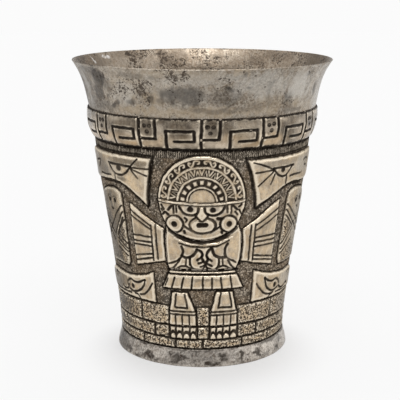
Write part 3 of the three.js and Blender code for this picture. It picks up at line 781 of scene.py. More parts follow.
LINES = [
    ([(-3, 88), (-2.9, 86.7), (-1.5, 85), (0, 84), (1.6, 85), (2.9, 86.7), (2.9, 88)], 1.1),
    ([(-3.1, 86.4), (-4.6, 85.2), (-6.1, 83.4), (-6.6, 81.4), (-6, 79.6)], 0.8),
    ([(3.3, 85.6), (5.4, 84.7), (6.9, 83), (7.3, 81), (6.3, 79.2)], 1.4),
    ([(-9.9, 81.6), (-6.1, 78.9), (-1.9, 77.5), (1.9, 77.4), (5.8, 78.5), (10, 81.4)], 1.0),
    # The wide stroke by the right cheek is a painted shadow
    ([(-9, 86), (-7.7, 84.8), (-8.4, 83.6)], 0.8), ([(8.3, 85.6), (10.2, 85.2)], 1.7),
    ([(-9.4, 78.2), (-9.2, 77.4)], 1.3), ([(10.6, 78), (10.9, 77.2)], 1.2),
    ([(-14.9, 92.8), (-14.9, 88.4)], 0.9), ([(-13.2, 92.8), (-13.3, 88.8)], 0.6),
    ([(13.1, 92.8), (13.2, 88.6)], 0.8), ([(15.4, 92.6), (15.2, 88.2)], 0.7),
    ([(-21.4, 92.6), (-20, 90.2)], 1.1), ([(-17.6, 90), (-15.9, 92.4)], 1.1),
    ([(-20.7, 87.3), (-19.3, 88.7), (-17.6, 87.3)], 1.2), ([(-21.5, 90.4), (-20.9, 89)], 0.6),
    ([(16.4, 92.2), (18.4, 90.1)], 1.2), ([(19.4, 91.6), (20.7, 92.8)], 0.8),
    ([(17.4, 88.9), (18.8, 87.2)], 0.9), ([(19.6, 89.8), (20.9, 87.6)], 0.8),
]
wall.raise_plate(FACE, 1.15, edge=1.3, outline=0.9)
wall.cut(curve(*CHIN_SHADOW), 1.9, 0.35)
for side in (-1, 1):
    wall.lift(oval(side * 6.2, 90.4, 4.6, 2.8), 0.35, edge=1.6)
wall.lift(oval(0.4, 81.4, 6.1, 3.9), 0.5, edge=1.8)
wall.chase(LINES, 0.45)
for lid in LIDS:
    wall.cut(curve(*lid), 1.15, 0.5)
for x, z, radius in PUPILS:
    wall.punch(x, z, radius, 0.4)
for x, z, radius in SPOOLS:
    wall.lift(oval(x, z, radius, radius), 0.5, edge=1.1, line=0.95)
    wall.punch(x, z, 1.75, 0.8)
NOSE = [(-2.7, 87), (-1.4, 85.3), (0, 84.6), (1.4, 85.3), (2.7, 87), (1.2, 89.4), (0.8, 92),
        (-0.8, 92), (-1.2, 89.4)]
wall.lift(NOSE, 0.7, edge=1.7)
wall.cut([(-1.6, 82), (2.1, 82)], 2.7, 0.9)
print("face plate:", len(FACE), "points,", len(LINES), "lines")

# %% [markdown]
# A crescent frames the face. It has four recessed rings: scrolls, teeth, squares and a plain
# groove. What stands in a ring repeats at even angles, so loops place it by radius and angle.
# An Array modifier on a curve would do that for meshes, but not for a drawing.

# %% Headdress
SPREAD = 0.96
RISE = 1.05
SCROLLS = 4
TEETH = 11
SQUARES = 9
# Each ring: its inner and outer radius
RINGS = [(18.7, 22.4), (13.5, 17.6), (8.3, 12.5), (6.8, 7.5)]
# One scroll: degrees along the crescent from its start, and radius
SCROLL = [(3, 20.2), (1.2, 20.3), (0.6, 21.4), (4, 21.7), (7.5, 21.5), (10, 20), (12, 19.3),
          (14.6, 19.4), (16, 20.6), (14.8, 21.7), (13.2, 21)]
# Sizes along the crescent, in degrees
FIRST_SCROLL = 3
SCROLL_STEP = 21.6
END_GAP = 3
SQUARE_STEP = 20
TOOTH_HALF = 3.6
SQUARE_HALF = 5.6


def hoop(radius):
    return arc(0, BROW, radius * SPREAD, radius * RISE, 0, 180, 60)


def around(radius, degrees):
    """A point of the crescent, by its radius and its angle from the right."""
    a = math.radians(degrees)
    return radius * SPREAD * math.cos(a), BROW + radius * RISE * math.sin(a)


for near, far in RINGS:
    wall.sink(np.vstack([hoop(far), hoop(near)[::-1]]))
for side in (-1, 1):
    for step in range(SCROLLS):
        start = FIRST_SCROLL + SCROLL_STEP * step
        path = [around(radius, 90 - side * (start + degrees)) for degrees, radius in SCROLL]
        wall.ridge(curve(*path), 0.95)
for step in range(2 * TEETH - 1):
    a = END_GAP + (180 - 2 * END_GAP) * (step + 1) / (2 * TEETH)
    foot, tip, width = (13.9, 16.7, 0.5) if step % 2 else (17.1, 14.3, 0.8)
    tooth = [around(foot, a - TOOTH_HALF), around(tip, a), around(foot, a + TOOTH_HALF)]
    wall.ridge(tooth, width)
for step in range(SQUARES):
    middle = SQUARE_STEP * (step + 0.5)
    left, right = middle - SQUARE_HALF, middle + SQUARE_HALF
    square = [around(9.3, left), around(11.6, left), around(11.6, right), around(9.3, right)]
    wall.lift(square, 0.4, edge=0.9)
brow = curve((-23, 95.1), (-12, 93.9), (0, 93.4), (12, 93.7), (23, 94.9))
wall.cut(brow, 2.2, 0.35)
wall.ridge(brow, 1.1, 0.6)
print("scrolls, teeth and squares of the crescent:", 2 * SCROLLS, TEETH, SQUARES)

# %% [markdown]
# Last on the wall comes the ground between the motifs. It is struck all over with a matting
# punch, and under the band with short upright strokes. The coarse part of that is real relief,
# which also shows in the vase's outline. The finest part is left to the material, as a bump,
# because as relief it would take a far denser mesh.

# %% The matted ground and the hatching under the band
GROUND_ROUGH = 0.1
WALL_WAVES = 0.16
PLATE_WAVES = 0.05
LINE_WAVES = 0.5
HATCHING_LOW, HATCHING_HIGH = 117.4, 118.2


def worn_ink(ink, cells, seed):
    """Ink that is rubbed away here and there."""
    return ink * np.clip(1 + 0.25 * soft_noise(ink.shape, cells, seed), 0.75, 1)


ground = 1 - wall.plain
shape = wall.height.shape
wall.height += GROUND_ROUGH * ground * soft_noise(shape, (120, 176), 21)
wall.height += WALL_WAVES * soft_noise(shape, (13, 19), 22)
wall.height += PLATE_WAVES * wall.plain * soft_noise(shape, (40, 60), 23)
hatching = smooth(wall.grid_z, HATCHING_LOW, HATCHING_HIGH) * ground
line_height = wall.grid_z + LINE_WAVES * soft_noise(shape, (150, 220), 24)
shoulder_line = smooth(line_height, SHOULDER - 1.7, SHOULDER - 1.0)
foot_line = 1 - smooth(line_height, FOOT_SEAM + 0.4, FOOT_SEAM + 1.2)
wall.ink = worn_ink(np.maximum(wall.ink, np.maximum(shoulder_line, foot_line)), (38, 56), 25)
wall.height[(wall.grid_z < FOOT_SEAM) | (wall.grid_z > SHOULDER)] = 0
print("highest relief", round(float(wall.height.max()), 2), "mm, lowest",
      round(float(wall.height.min()), 2))

# %% [markdown]
# The band repeats one unit twelve times: a full upright, a tab that hangs beside it with three
# punched dots, and a squared hook. It has its own board, one whole turn wide. An Array modifier
# would repeat the unit too, but each one here leans a little differently, as by hand.

# %% The stepped fret
FRETS = 12
UNIT = TURN / FRETS
BAND_WOBBLE = 0.22
BAND_WAVES = 0.2
BAND_RIPPLES = 0.17
LINE_WIDTH = 1.3
LINE_DEPTH = 0.55
EDGE_DROP = 0.45
SEAM_WAVES = 0.45
DOTS = [(2.9, 135.1), (5.5, 135.2), (4.2, 132)]

band = Board(-TURN / 2, TURN / 2, SHOULDER, NECK, BAND_WOBBLE)
shape = band.height.shape
for index in range(-1, FRETS + 1):
    start = -TURN / 2 + index * UNIT - 0.5
    lean = 0.35 * math.sin(2.4 * index)
    upright = [(0, SHOULDER + 0.3), (lean, NECK - 0.3)]
    tab = [(0.2, 128.2), (8.2, 128.4 + 0.2 * lean), (8.4 + lean, NECK - 0.3)]
    hook = [(13.3, SHOULDER + 0.3), (13.2 - 0.3 * lean, 132.7), (26.2, 132.8 + 0.3 * lean),
            (26.4, 127.4), (17.2 + lean, 127.2)]
    for run in (upright, tab, hook):
        band.cut([(start + x, z) for x, z in run], LINE_WIDTH, LINE_DEPTH)
    for x, z in DOTS:
        band.cut(arc(start + x, z, 0.8, 0.8, 0, 360, 12), 0.3, 0.3)
        band.punch(start + x, z, 0.35, 0.2)
band.height += BAND_WAVES * soft_noise(shape, (3, 46), 31)
band.height += BAND_RIPPLES * soft_noise(shape, (5, 80), 37)
seam = SEAM_WAVES * soft_noise(shape, (20, 440), 32)
for edge in (SHOULDER, NECK):
    away = np.abs(band.grid_z - edge)
    band.height -= EDGE_DROP * (1 - smooth(away, 0.1, 1.0))
    band.ink = np.maximum(band.ink, 1 - smooth(away + seam, 0.7, 1.2))
band.ink = worn_ink(band.ink, (5, 110), 36)
rising = band.grid_z + 2 * soft_noise(shape, (3, 60), 33)
# Painted shade: the band's upper half is darker in patches, where it reflects the dim ceiling
band_top_shade = smooth(rising, 128.5, 133) * (0.75 + 0.9 * soft_noise(shape, (3, 54), 34))
band_tan = 1 - smooth(rising, 127, 133)
band_tan *= np.clip(0.6 + 0.6 * soft_noise(shape, (2, 30), 35), 0, 1)
print("fret units:", FRETS, "board", shape)

# %% [markdown]
# Silver tarnishes in patches: smoky grey, tan, and groups of dark pits. Some blots are painted
# light instead: large smoky blots paint shade on the left side, and large cool ones paint light on
# the right. They could be brushed on in Texture Paint, but that needs a picture. Here each blot
# is a place, a size and a strength. On the front the blots lie where the photograph shows them,
# and on the sides and the back they are scattered at random.


# %% Stains
def stain(shape, heights, spots, seed, rows):
    """Soft-edged blots, each by its place along the turn, its height, its two half sizes and
    its strength. Only the given rows get them."""
    turn = TURN * (np.arange(shape[1]) / shape[1] - 0.5)
    x = turn + 2.2 * soft_noise(shape, (12, 130), seed)
    z = heights + 1.2 * soft_noise(shape, (10, 110), seed + 1)
    ragged = 0.25 * soft_noise(shape, (16, 220), seed + 2)
    mask = np.zeros(shape)
    for cx, cz, rx, rz, strength in spots:
        away = (x - cx + TURN / 2) % TURN - TURN / 2
        d = np.hypot(away / rx, (z - cz) / rz) + ragged
        mask = np.maximum(mask, strength * (1 - smooth(d, 0.55, 1.25)))
    wanted = np.isin(np.arange(shape[0]), rows)
    return mask * wanted[:, None]


def scattered(count, heights, sizes, seed):
    """Blots at random on the sides and the back, where the photograph shows nothing."""
    draw = np.random.default_rng(seed)
    spots = []
    for _ in range(count):
        size = draw.uniform(*sizes)
        spots.append((draw.uniform(85, 267), draw.uniform(*heights), size * draw.uniform(1, 2.2),
                      size, draw.uniform(0.4, 0.9)))
    return spots


COLLAR_HEIGHTS = (NECK + 2, LIP - 3)
WALL_HEIGHTS = (SHOULDER - 110, SHOULDER - 6)
# Smoke tarnish on the collar. Its large blots on the left are painted shade that darkens that side.
COLLAR_SMOKE_AND_SHADE = [
    (-84, 152, 34, 20, 0.5), (-80, 151, 9, 16, 0.9), (-51, 158, 5.5, 6, 1),
    (-8, 151.3, 14, 5.5, 0.88), (-5, 153.8, 10, 1.8, 0.4), (-16, 147.6, 8, 1.6, 0.5),
    (10.5, 150, 9, 4.5, 0.5), (-46, 155, 3, 4, 0.5), (-54.5, 149, 4, 7, 0.8), (-60, 162, 6, 2, 0.6),
    (-52, 143, 12, 3, 0.5), (11.7, 154.8, 1.9, 1.3, 1), (19.8, 154.5, 1, 0.7, 1),
    (17.6, 162.8, 2.2, 1.4, 0.8), (32, 158, 0.9, 1.1, 0.9), (6, 143.5, 16, 1.6, 0.5),
    (46, 142, 10, 1.6, 0.5), (30, 151, 2, 8, 0.35), (40.5, 149.5, 0.8, 1.8, 0.8),
    (63, 152.2, 3.2, 4, 1), (51.7, 160.7, 3, 1.1, 0.7), (-24, 148.4, 1.7, 1.7, 0.9),
    (-43.7, 144.7, 1.5, 1.8, 0.9), (-41, 145.2, 1, 1.6, 0.8), (-34, 146.8, 2.2, 1.5, 0.8),
    (-30, 160.5, 9, 1.6, 0.4), (42.7, 146, 4, 7, 0.45), (-60, 160, 10, 3, 0.4),
    (26, 145, 6, 2, 0.3),
]
PITTED = [
    (-34, 153, 15, 10, 1), (-14, 161, 10, 4.5, 1), (12, 157, 6, 5, 0.8), (50, 160, 9, 4, 0.5),
    (41, 147, 4, 5, 0.5), (-52, 158, 9, 8, 0.8), (18, 162, 5, 3, 0.8), (4, 148, 9, 4, 0.35),
]
TAN = [
    (-8, 142.5, 40, 2.6, 0.7), (-22, 149.5, 5, 3.5, 0.8), (30, 146, 12, 5, 0.5),
    (-10, 162, 20, 2.4, 0.6), (16, 163, 2, 2, 1), (46, 145, 6, 4, 0.5), (60, 142, 12, 3, 0.4),
    (-30, 143, 14, 2.4, 0.9), (30, 142.5, 10, 2, 0.8), (-37, 155, 8, 6, 0.5),
]
# Cool, light blots on the collar. Its large blots on the right are painted light that lightens that
# side.
COLLAR_COOL_AND_LIT = [
    (-8, 151.6, 13, 5, 0.2), (76, 152, 18, 16, 0.3), (26, 156, 16, 8, 0.6), (0, 160, 26, 4, 0.4),
    (48, 154, 9, 8, 0.9), (-37, 152, 6, 7, 0.6), (28, 154, 9, 5, 0.5), (72, 148, 8, 12, 0.7),
    (-66, 152, 4, 10, 0.5),
]
# Darker blots inside the collar, most of them at its back
DARK_BLOTS_INSIDE = [
    (-160, 160, 9, 5, 0.6), (-166, 154, 6, 4, 0.5), (-114, 159, 10, 8, 0.75),
    (104, 156, 12, 12, 0.6), (160, 150, 8, 4, 0.5), (-176, 152, 6, 3, 0.5), (134, 162, 10, 3, 0.5),
    (-136, 163, 9, 2, 0.4), (148, 158, 3, 3, 0.5), (168, 161, 4, 2, 0.4), (60, 155, 16, 6, 0.5),
    (0, 150, 30, 5, 0.5),
]
# Painted glints inside the lip: scratches there, painted white where they catch the light
GLINTS = [
    (-110.2, 163.8, 0.45, 0.9, 0.5), (-111, 162.8, 0.5, 0.9, 0.6), (-111.8, 161.7, 0.5, 1, 0.7),
    (-112.6, 160.6, 0.5, 1, 0.6), (-121.4, 163.5, 1.3, 0.8, 0.6), (-123.4, 162.4, 0.9, 1, 0.6),
]
# Smoke tarnish on the wall. Its large blots on the left are painted shade that darkens that side,
# and the blot beside the right cheek is a painted shadow.
WALL_SMOKE_AND_SHADE = [
    (-68, 72, 8, 28, 1), (-60, 62, 6, 8, 0.5), (-76, 60, 26, 70, 1), (-40, 113.6, 18, 3, 0.75),
    (44, 113.4, 16, 2.2, 0.4), (-68, 107, 15, 7, 0.8), (-46, 103.4, 7, 1.6, 0.7),
    (-48, 114.6, 12, 1.5, 0.5), (-74, 75, 9, 24, 0.8), (-39, 76, 5, 3.5, 0.5), (-62, 62, 6, 9, 0.6),
    (-78, 44, 14, 8, 0.7), (38, 78, 4, 4, 0.3), (10, 85.2, 2.6, 1.2, 0.7), (-11, 77.8, 2, 1, 0.7),
    (-84, 25, 20, 14, 0.5), (0, 51, 16, 1, 0.5),
]
# Cool, light blots on the wall. Its large blots on the right are painted light that lightens that
# side.
WALL_COOL_AND_LIT = [
    (64, 110, 13, 6, 0.9), (70, 78, 11, 22, 1), (68, 44, 14, 7, 0.9), (70, 28, 16, 12, 0.6),
    (-54, 108, 8, 5, 0.7), (-6, 90.5, 5, 3, 0.7), (6, 90.4, 5, 3, 0.7), (4, 80, 7, 3, 0.5),
    (36, 113, 12, 3, 0.4), (12, 62, 8, 4, 0.3),
]
COLLAR_SMOKE_AND_SHADE += scattered(16, COLLAR_HEIGHTS, (1.5, 8), 71)
PITTED += scattered(9, COLLAR_HEIGHTS, (3, 9), 72)
TAN += scattered(10, COLLAR_HEIGHTS, (3, 7), 73)
COLLAR_COOL_AND_LIT += scattered(10, COLLAR_HEIGHTS, (3, 9), 78)
WALL_SMOKE_AND_SHADE += scattered(24, WALL_HEIGHTS, (3, 12), 76)
WALL_COOL_AND_LIT += scattered(24, WALL_HEIGHTS, (3, 12), 77)
print("blots on the collar:", len(COLLAR_SMOKE_AND_SHADE + PITTED + TAN + COLLAR_COOL_AND_LIT))
print("blots on the wall:", len(WALL_SMOKE_AND_SHADE + WALL_COOL_AND_LIT))

# %% [markdown]
# Each wall becomes one closed sheet: a grid that runs up its outside, over its top edge, down
# its inside and round underneath. A Solidify modifier would give the same thickness
# everywhere, but the inside of pushed-out metal is softer than its outside, so both are made.


# %% Grids into sheets
def blur(values, reach):
    """Softens a board that repeats from side to side, down its rows and then across."""
    size = 2 * reach + 1
    for mode in ("edge", "wrap"):
        total = np.cumsum(np.pad(values, ((reach, reach), (0, 0)), mode=mode), axis=0)
        total = np.vstack([np.zeros(total.shape[1]), total])
        values = ((total[size:] - total[:-size]) / size).T
    return values


def sheet(name, radii, heights, masks, body="root"):
    """A closed sheet from rows of radii and heights in millimetres, each row one turn."""
    rows, columns = radii.shape
    faces = rows * columns
    turn = 2 * math.pi * (np.arange(columns) / columns - 0.5)
    heights = np.broadcast_to(heights, radii.shape)
    vertices = np.stack([radii * np.sin(turn), -radii * np.cos(turn), heights], -1) * MM
    r, c = np.meshgrid(np.arange(rows), np.arange(columns), indexing="ij")
    r2, c2 = (r + 1) % rows, (c + 1) % columns
    corners = np.stack([r * columns + c, r * columns + c2, r2 * columns + c2, r2 * columns + c], -1)
    uv = np.stack([np.stack([c, c + 1, c + 1, c], -1) / columns,
                   np.stack([r, r, r + 1, r + 1], -1) / rows], -1)
    mesh = bpy.data.meshes.new(name)
    mesh.vertices.add(faces)
    mesh.vertices.foreach_set("co", vertices.ravel())
    mesh.loops.add(4 * faces)
    mesh.loops.foreach_set("vertex_index", corners.ravel().astype(np.int32))
    mesh.polygons.add(faces)
    mesh.polygons.foreach_set("loop_start", np.arange(0, 4 * faces, 4, dtype=np.int32))
    mesh.polygons.foreach_set("use_smooth", np.ones(faces, dtype=bool))
    mesh.uv_layers.new(name="OFBake").data.foreach_set("uv", uv.ravel())
    for mask_name, values in masks.items():
        attribute = mesh.attributes.new(mask_name, "FLOAT", "POINT")
        attribute.data.foreach_set("value", values.ravel())
    mesh.update()
    mesh.validate()
    made = bpy.data.objects.new(name, mesh)
    bpy.context.collection.objects.link(made)
    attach(made, body)
    print(name, len(mesh.polygons), "faces")
    return made


def relief_sheet(name, outside, z_out, inside, z_in, masks):
    """A sheet with masks on its drawn outside. On its inside only the lining is 1."""
    both = {}
    for mask_name, values in masks.items():
        behind = np.full(inside.shape, 1.0 if mask_name == "lining" else 0.0)
        both[mask_name] = np.vstack([values, behind])
    heights = np.vstack([z_out, z_in])
    return sheet(name, np.vstack([outside, inside]), heights, both)


def wear_and_highlight(height, ink, sootiness, hollow_reach):
    """Masks of what soot and hands do: soot stays by the lines, and high points are rubbed bright
    and carry a painted highlight.
    """
    return {
        "ink": ink,
        "soot": np.clip(sootiness * blur(ink, 4), 0, 1),
        "worn_and_highlight": np.clip(height - blur(height, 5), 0, 1),
        "hollow": np.clip(blur(height, hollow_reach) - height, 0, 1),
    }


# %% [markdown]
# The chased wall uses its half turn twice, once for the front and once for the back. An Array
# modifier would leave a joint at each side, so the numbers are doubled before the mesh is made.
# Its back side follows the relief at half its height and without the fine lines, as sheet does
# that is pushed out from behind. All masks of the board go along as attributes of the mesh.


# %% The chased wall
def full_turn(values):
    """The drawn half turn, once round the front and once round the back."""
    return np.roll(np.hstack([values, values]), values.shape[1] // 2, axis=1)


BACK_ROWS = 40
BACK_RELIEF = 0.5
height = full_turn(wall.height)
z_out = wall.z[:, None]
z_in = np.linspace(WALL_TOP, WALL_SEAT, BACK_ROWS)[:, None]
behind = blur(height, 9)[np.searchsorted(wall.z, z_in[:, 0] - 1e-6), :]
lapped = (z_in < FOOT_SEAM + 2) | (z_in > SHOULDER - 1)
inside = inner(wall_radius)(z_in) + BACK_RELIEF * np.where(lapped, 0, behind)
all_rows = range(height.shape[0])
figure_wall = relief_sheet("chased_wall", wall_radius(z_out) + height, z_out, inside, z_in, {
    **wear_and_highlight(height, full_turn(wall.ink), sootiness=1.6, hollow_reach=6),
    "ground": full_turn(1 - wall.plain),
    "stipple": full_turn(wall.stipple),
    "hatching": full_turn(hatching),
    "smoke_and_shade": stain(height.shape, z_out, WALL_SMOKE_AND_SHADE, 81, all_rows),
    "cool_and_lit": stain(height.shape, z_out, WALL_COOL_AND_LIT, 84, all_rows),
    "lining": np.zeros(height.shape),
})
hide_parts("figure_wall")

# %% [markdown]
# The band is a hoop of its own, lapped over the wall and the collar. It could be a swelling of
# the wall, but then its edges would have no joint for soot to settle in. Its fret is cut into
# the outside and doesn't show behind, so its inside is plain and needs only a few rows.

# %% The fret band
z_out = band.z[:, None]
z_in = np.linspace(NECK - 0.1, SHOULDER + 0.1, 9)[:, None]
outside = band_radius(z_out) + band.height
inside = inner(band_radius)(z_in) + np.zeros((1, outside.shape[1]))
fret_band = relief_sheet("fret_band_sheet", outside, z_out, inside, z_in, {
    **wear_and_highlight(band.height, band.ink, sootiness=1.5, hollow_reach=4),
    "smoke_and_shade": np.clip(band_top_shade, 0, 1),
    "tan": band_tan,
})
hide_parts("fret_band")

# %% [markdown]
# The collar, the foot and the floor are plain sheet, so each is a closed outline of radius and
# height, turned about the axis. A Screw modifier would turn them perfectly round. The real ones
# were planished by hand, so their surface wavers by a few tenths of a millimetre.


# %% Collar, foot and floor
def plain_sheet(name, outline, columns, waver, cells, seed, lining_rows, blots=(), inside=()):
    """Turns a closed outline of radius and height, and lets the surface waver a little."""
    points = np.array(outline, dtype=float)
    count, shape = len(points), (len(points), columns)
    noise = soft_noise(shape, cells, seed)
    side = np.concatenate([noise[: count // 2], noise[: count - count // 2][::-1]])
    finer = soft_noise(shape, (2 * cells[0], 3 * cells[1]), seed + 50)
    off_axis = points[:, :1] > 0.5
    radii = points[:, :1] + (waver * side + 0.18 * waver * finer) * off_axis
    heights = points[:, 1:]
    outer_rows = [row for row in range(count) if row not in lining_rows]
    masks = {"lining": np.zeros(shape)}
    masks["lining"][list(lining_rows)] = 1
    for number, (mask_name, spots) in enumerate(blots):
        masks[mask_name] = stain(shape, heights, spots, seed + 5 * number, outer_rows)
    for mask_name, spots in inside:
        inner_stain = stain(shape, heights, spots, seed + 60, lining_rows)
        masks[mask_name] = masks.get(mask_name, 0) + inner_stain
    return sheet(name, radii, heights, masks)


def turned(radius, heights):
    """Points of a wall's profile at the given heights."""
    return [(float(radius(z)), z) for z in heights]


COLUMNS = 640
COLLAR_WAVER = 0.16
LIP_ROUND = 0.38
LIP_LOW = LIP - LIP_ROUND
z_up = np.concatenate([np.linspace(COLLAR_FOOT, NECK, 4)[:-1], np.linspace(NECK, LIP_LOW, 56)])
half_lip = float(collar_radius(LIP) - inner(collar_radius)(LIP)) / 2
lip_middle = float(collar_radius(LIP_LOW)) - half_lip
outline = turned(collar_radius, z_up)
for a in np.radians(np.linspace(18, 162, 7)):
    outline.append((lip_middle + half_lip * math.cos(a), LIP_LOW + LIP_ROUND * math.sin(a)))
outline += turned(inner(collar_radius), z_up[::-1])
lining = range(len(z_up) + 3, len(outline))
blots = [("smoke_and_shade", COLLAR_SMOKE_AND_SHADE), ("pitted", PITTED), ("tan", TAN), ("cool_and_lit", COLLAR_COOL_AND_LIT)]
blots_inside = [("smoke_and_shade", DARK_BLOTS_INSIDE), ("glint", GLINTS)]
rim_collar = plain_sheet("collar_sheet", outline, COLUMNS, COLLAR_WAVER, cells=(6, 30), seed=41,
                         lining_rows=lining, blots=blots, inside=blots_inside)
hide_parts("rim_collar")

FOOT_WAVER = 0.12
EDGE_ROUND = 0.25
# Smudges on the foot. Its large blots on the left are painted shade that darkens that side.
SMUDGES_AND_SHADE = [
    (-16, 4, 3.2, 2.6, 1.3), (-11.4, 4.6, 1.8, 2, 1.3), (-37.7, 4, 2.2, 2.5, 1.3),
    (-34.4, 3.8, 1.2, 2.2, 1.2), (-57, 3.4, 3.4, 2.2, 1.2), (13.7, 4.6, 2.8, 2.6, 1.3),
    (25.7, 4.6, 1.8, 2.6, 1.3), (38.9, 4.6, 2.6, 2.7, 1.2), (58.9, 3.4, 3, 2, 1.2),
    (4.6, 1.7, 3.4, 1, 1.3), (9.4, 1.5, 2.4, 1, 1.2), (-45.7, 1.2, 3, 1.1, 1.1),
    (-31, 1.6, 2.4, 0.6, 1), (-63, 6.6, 6, 1.2, 0.8), (-68, 4.5, 14, 6, 0.9), (-40, 2, 9, 1.2, 0.5),
    (-20, 4, 0.6, 5, 1.3), (-26, 2.4, 5, 1, 0.4), (32, 4, 0.5, 5, 0.8), (20, 2, 6, 0.8, 0.5),
    (48, 2.4, 6, 1, 0.5), (66, 6, 6, 1.4, 0.6), (-48, 5.4, 4, 1.2, 0.4),
]
SMUDGES_AND_SHADE += scattered(14, (1.5, 7), (1, 2), 74)
# Soot in the seam, all the way round
SMUDGES_AND_SHADE += [(angle, FOOT_SEAM, 5, 0.9, 0.9) for angle in range(-180, 180, 7)]
z_up = np.concatenate([[0.0, 0.25, 0.6], np.linspace(1.2, FOOT_SEAM - 0.3, 18), [FOOT_SEAM]])
rounded = [0.3, 0.06, 0.0] + [0.0] * 18 + [EDGE_ROUND]
outline = [(radius - less, z) for (radius, z), less in zip(turned(foot_radius, z_up), rounded)]
outline += turned(inner(foot_radius), np.linspace(FOOT_SEAM, 0.6, 10))
outline.append((float(inner(foot_radius)(0.0)) + EDGE_ROUND, 0.0))
lining = range(len(z_up) + 1, len(outline))
blots = [("smoke_and_shade", SMUDGES_AND_SHADE), ("pitted", SMUDGES_AND_SHADE), ("tan", scattered(8, (2, 7), (1, 3), 75))]
foot_ring = plain_sheet("foot_sheet", outline, COLUMNS, FOOT_WAVER, cells=(4, 40), seed=42,
                        lining_rows=lining, blots=blots)
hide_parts("foot_ring")

FLOOR_COLUMNS = 120
AXIS_RADIUS = 0.02
edge_low = float(inner(foot_radius)(FLOOR_UNDERSIDE)) - LAP_GAP
edge_high = float(inner(foot_radius)(WALL_SEAT)) - LAP_GAP
rebate_low = REBATE_RADIUS - 0.1
outline = [(AXIS_RADIUS, FLOOR_UNDERSIDE)]
outline += [(edge_low * t, FLOOR_UNDERSIDE) for t in np.linspace(0.05, 1, 20)]
outline += [(edge_high, WALL_SEAT), (REBATE_RADIUS, WALL_SEAT), (REBATE_RADIUS, FLOOR_TOP - 0.1)]
outline += [(rebate_low * t, FLOOR_TOP) for t in np.linspace(1, 0.05, 20)]
outline.append((AXIS_RADIUS, FLOOR_TOP))
floor_disc = plain_sheet("floor_sheet", outline, FLOOR_COLUMNS, waver=0.0, cells=(3, 8), seed=43,
                         lining_rows=range(0, 21))
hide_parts("floor_disc")

# %% [markdown]
# Solder shows only inside: a thin bright fillet where each sheet ends against the next one. It
# ran while hot, so it is a hollow curve, wider in some places than in others. A Bevel modifier
# on the sheet would be simpler, but solder is a metal of its own, so it is a ring of its own.

# %% Solder fillets
SEAM_GAP = 0.02
SOLDER_LEG = 0.9
SOLDER_COLUMNS = 300


def fillet(name, face, corner, away, toe, seed):
    """A ring in the corner between a wall's face and a sheet's end, with a hollow front."""
    upwards = away > corner
    near = corner + (SEAM_GAP if upwards else -SEAM_GAP)
    root = (float(face(corner)) - SEAM_GAP, near)
    far = float(face(away)) - SEAM_GAP
    front = [(blend(toe, far, t), near + (away - near) * t ** 1.7) for t in np.linspace(0, 1, 6)]
    points = np.array([root, *front[::-1]] if upwards else [*front, root])
    run = 0.1 * soft_noise((1, SOLDER_COLUMNS), (1, 40), seed)[0]
    radii = np.repeat(points[:, :1], SOLDER_COLUMNS, 1)
    radii[points[:, 0].max() - points[:, 0] > 0.2] += np.minimum(run, SEAM_GAP)
    return sheet(name, radii, points[:, 1:], {})


collar_toe = float(inner(collar_radius)(COLLAR_FOOT))
wall_toe = float(inner(wall_radius)(WALL_TOP))
foot_toe = float(inner(foot_radius)(FLOOR_UNDERSIDE)) - SOLDER_LEG
floor_toe = REBATE_RADIUS + LAP_GAP
# Each fillet: the wall's face, the sheet's end, the fillet's far edge and its toe's radius
FILLETS = {
    "solder_collar": (inner(band_radius), COLLAR_FOOT, COLLAR_FOOT - SOLDER_LEG, collar_toe),
    "solder_band": (inner(band_radius), WALL_TOP, WALL_TOP + SOLDER_LEG, wall_toe),
    "solder_floor": (inner(wall_radius), WALL_SEAT, WALL_SEAT + SOLDER_LEG, floor_toe),
    "solder_foot": (inner(foot_radius), FLOOR_UNDERSIDE, FLOOR_UNDERSIDE - SOLDER_LEG, foot_toe),
}
solder_rings = []
for seed, (name, values) in enumerate(FILLETS.items()):
    ring = fillet(name + "_run", *values, 60 + seed)
    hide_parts(name)
    solder_rings.append(ring)
print("fillets:", len(solder_rings))

# %% [markdown]
# Old silver isn't one colour. It is warm and bright where hands polish it, grey-brown and
# bluish where it has tarnished, and pitted here and there. Painted textures could show that,
# but noise from nodes needs no picture and stays sharp from near by. The sheets share these
# effects, so each is a node group with its own inputs, and each material sets its own amounts.


# %% Shared effects as node groups
def group(name, inputs, outputs):
    """A shader node group with named number sockets, ready to be filled."""
    made = bpy.data.node_groups.new(name, "ShaderNodeTree")
    for socket_name, default in inputs.items():
        socket = made.interface.new_socket(name=socket_name, in_out="INPUT",
                                           socket_type="NodeSocketFloat")
        socket.default_value = default
    for socket_name in outputs:
        made.interface.new_socket(name=socket_name, in_out="OUTPUT", socket_type="NodeSocketFloat")
    tree = Tree(made)
    given = made.nodes.new("NodeGroupInput").outputs
    result = made.nodes.new("NodeGroupOutput").inputs
    return made, tree, given, result


def pushed(tree, place, scale, detail, push):
    """Places that a noise moves about, so that no pattern looks like a machine's."""
    return tree.vector("MULTIPLY_ADD", tree.noise(place, scale, detail)["Color"], push, place)


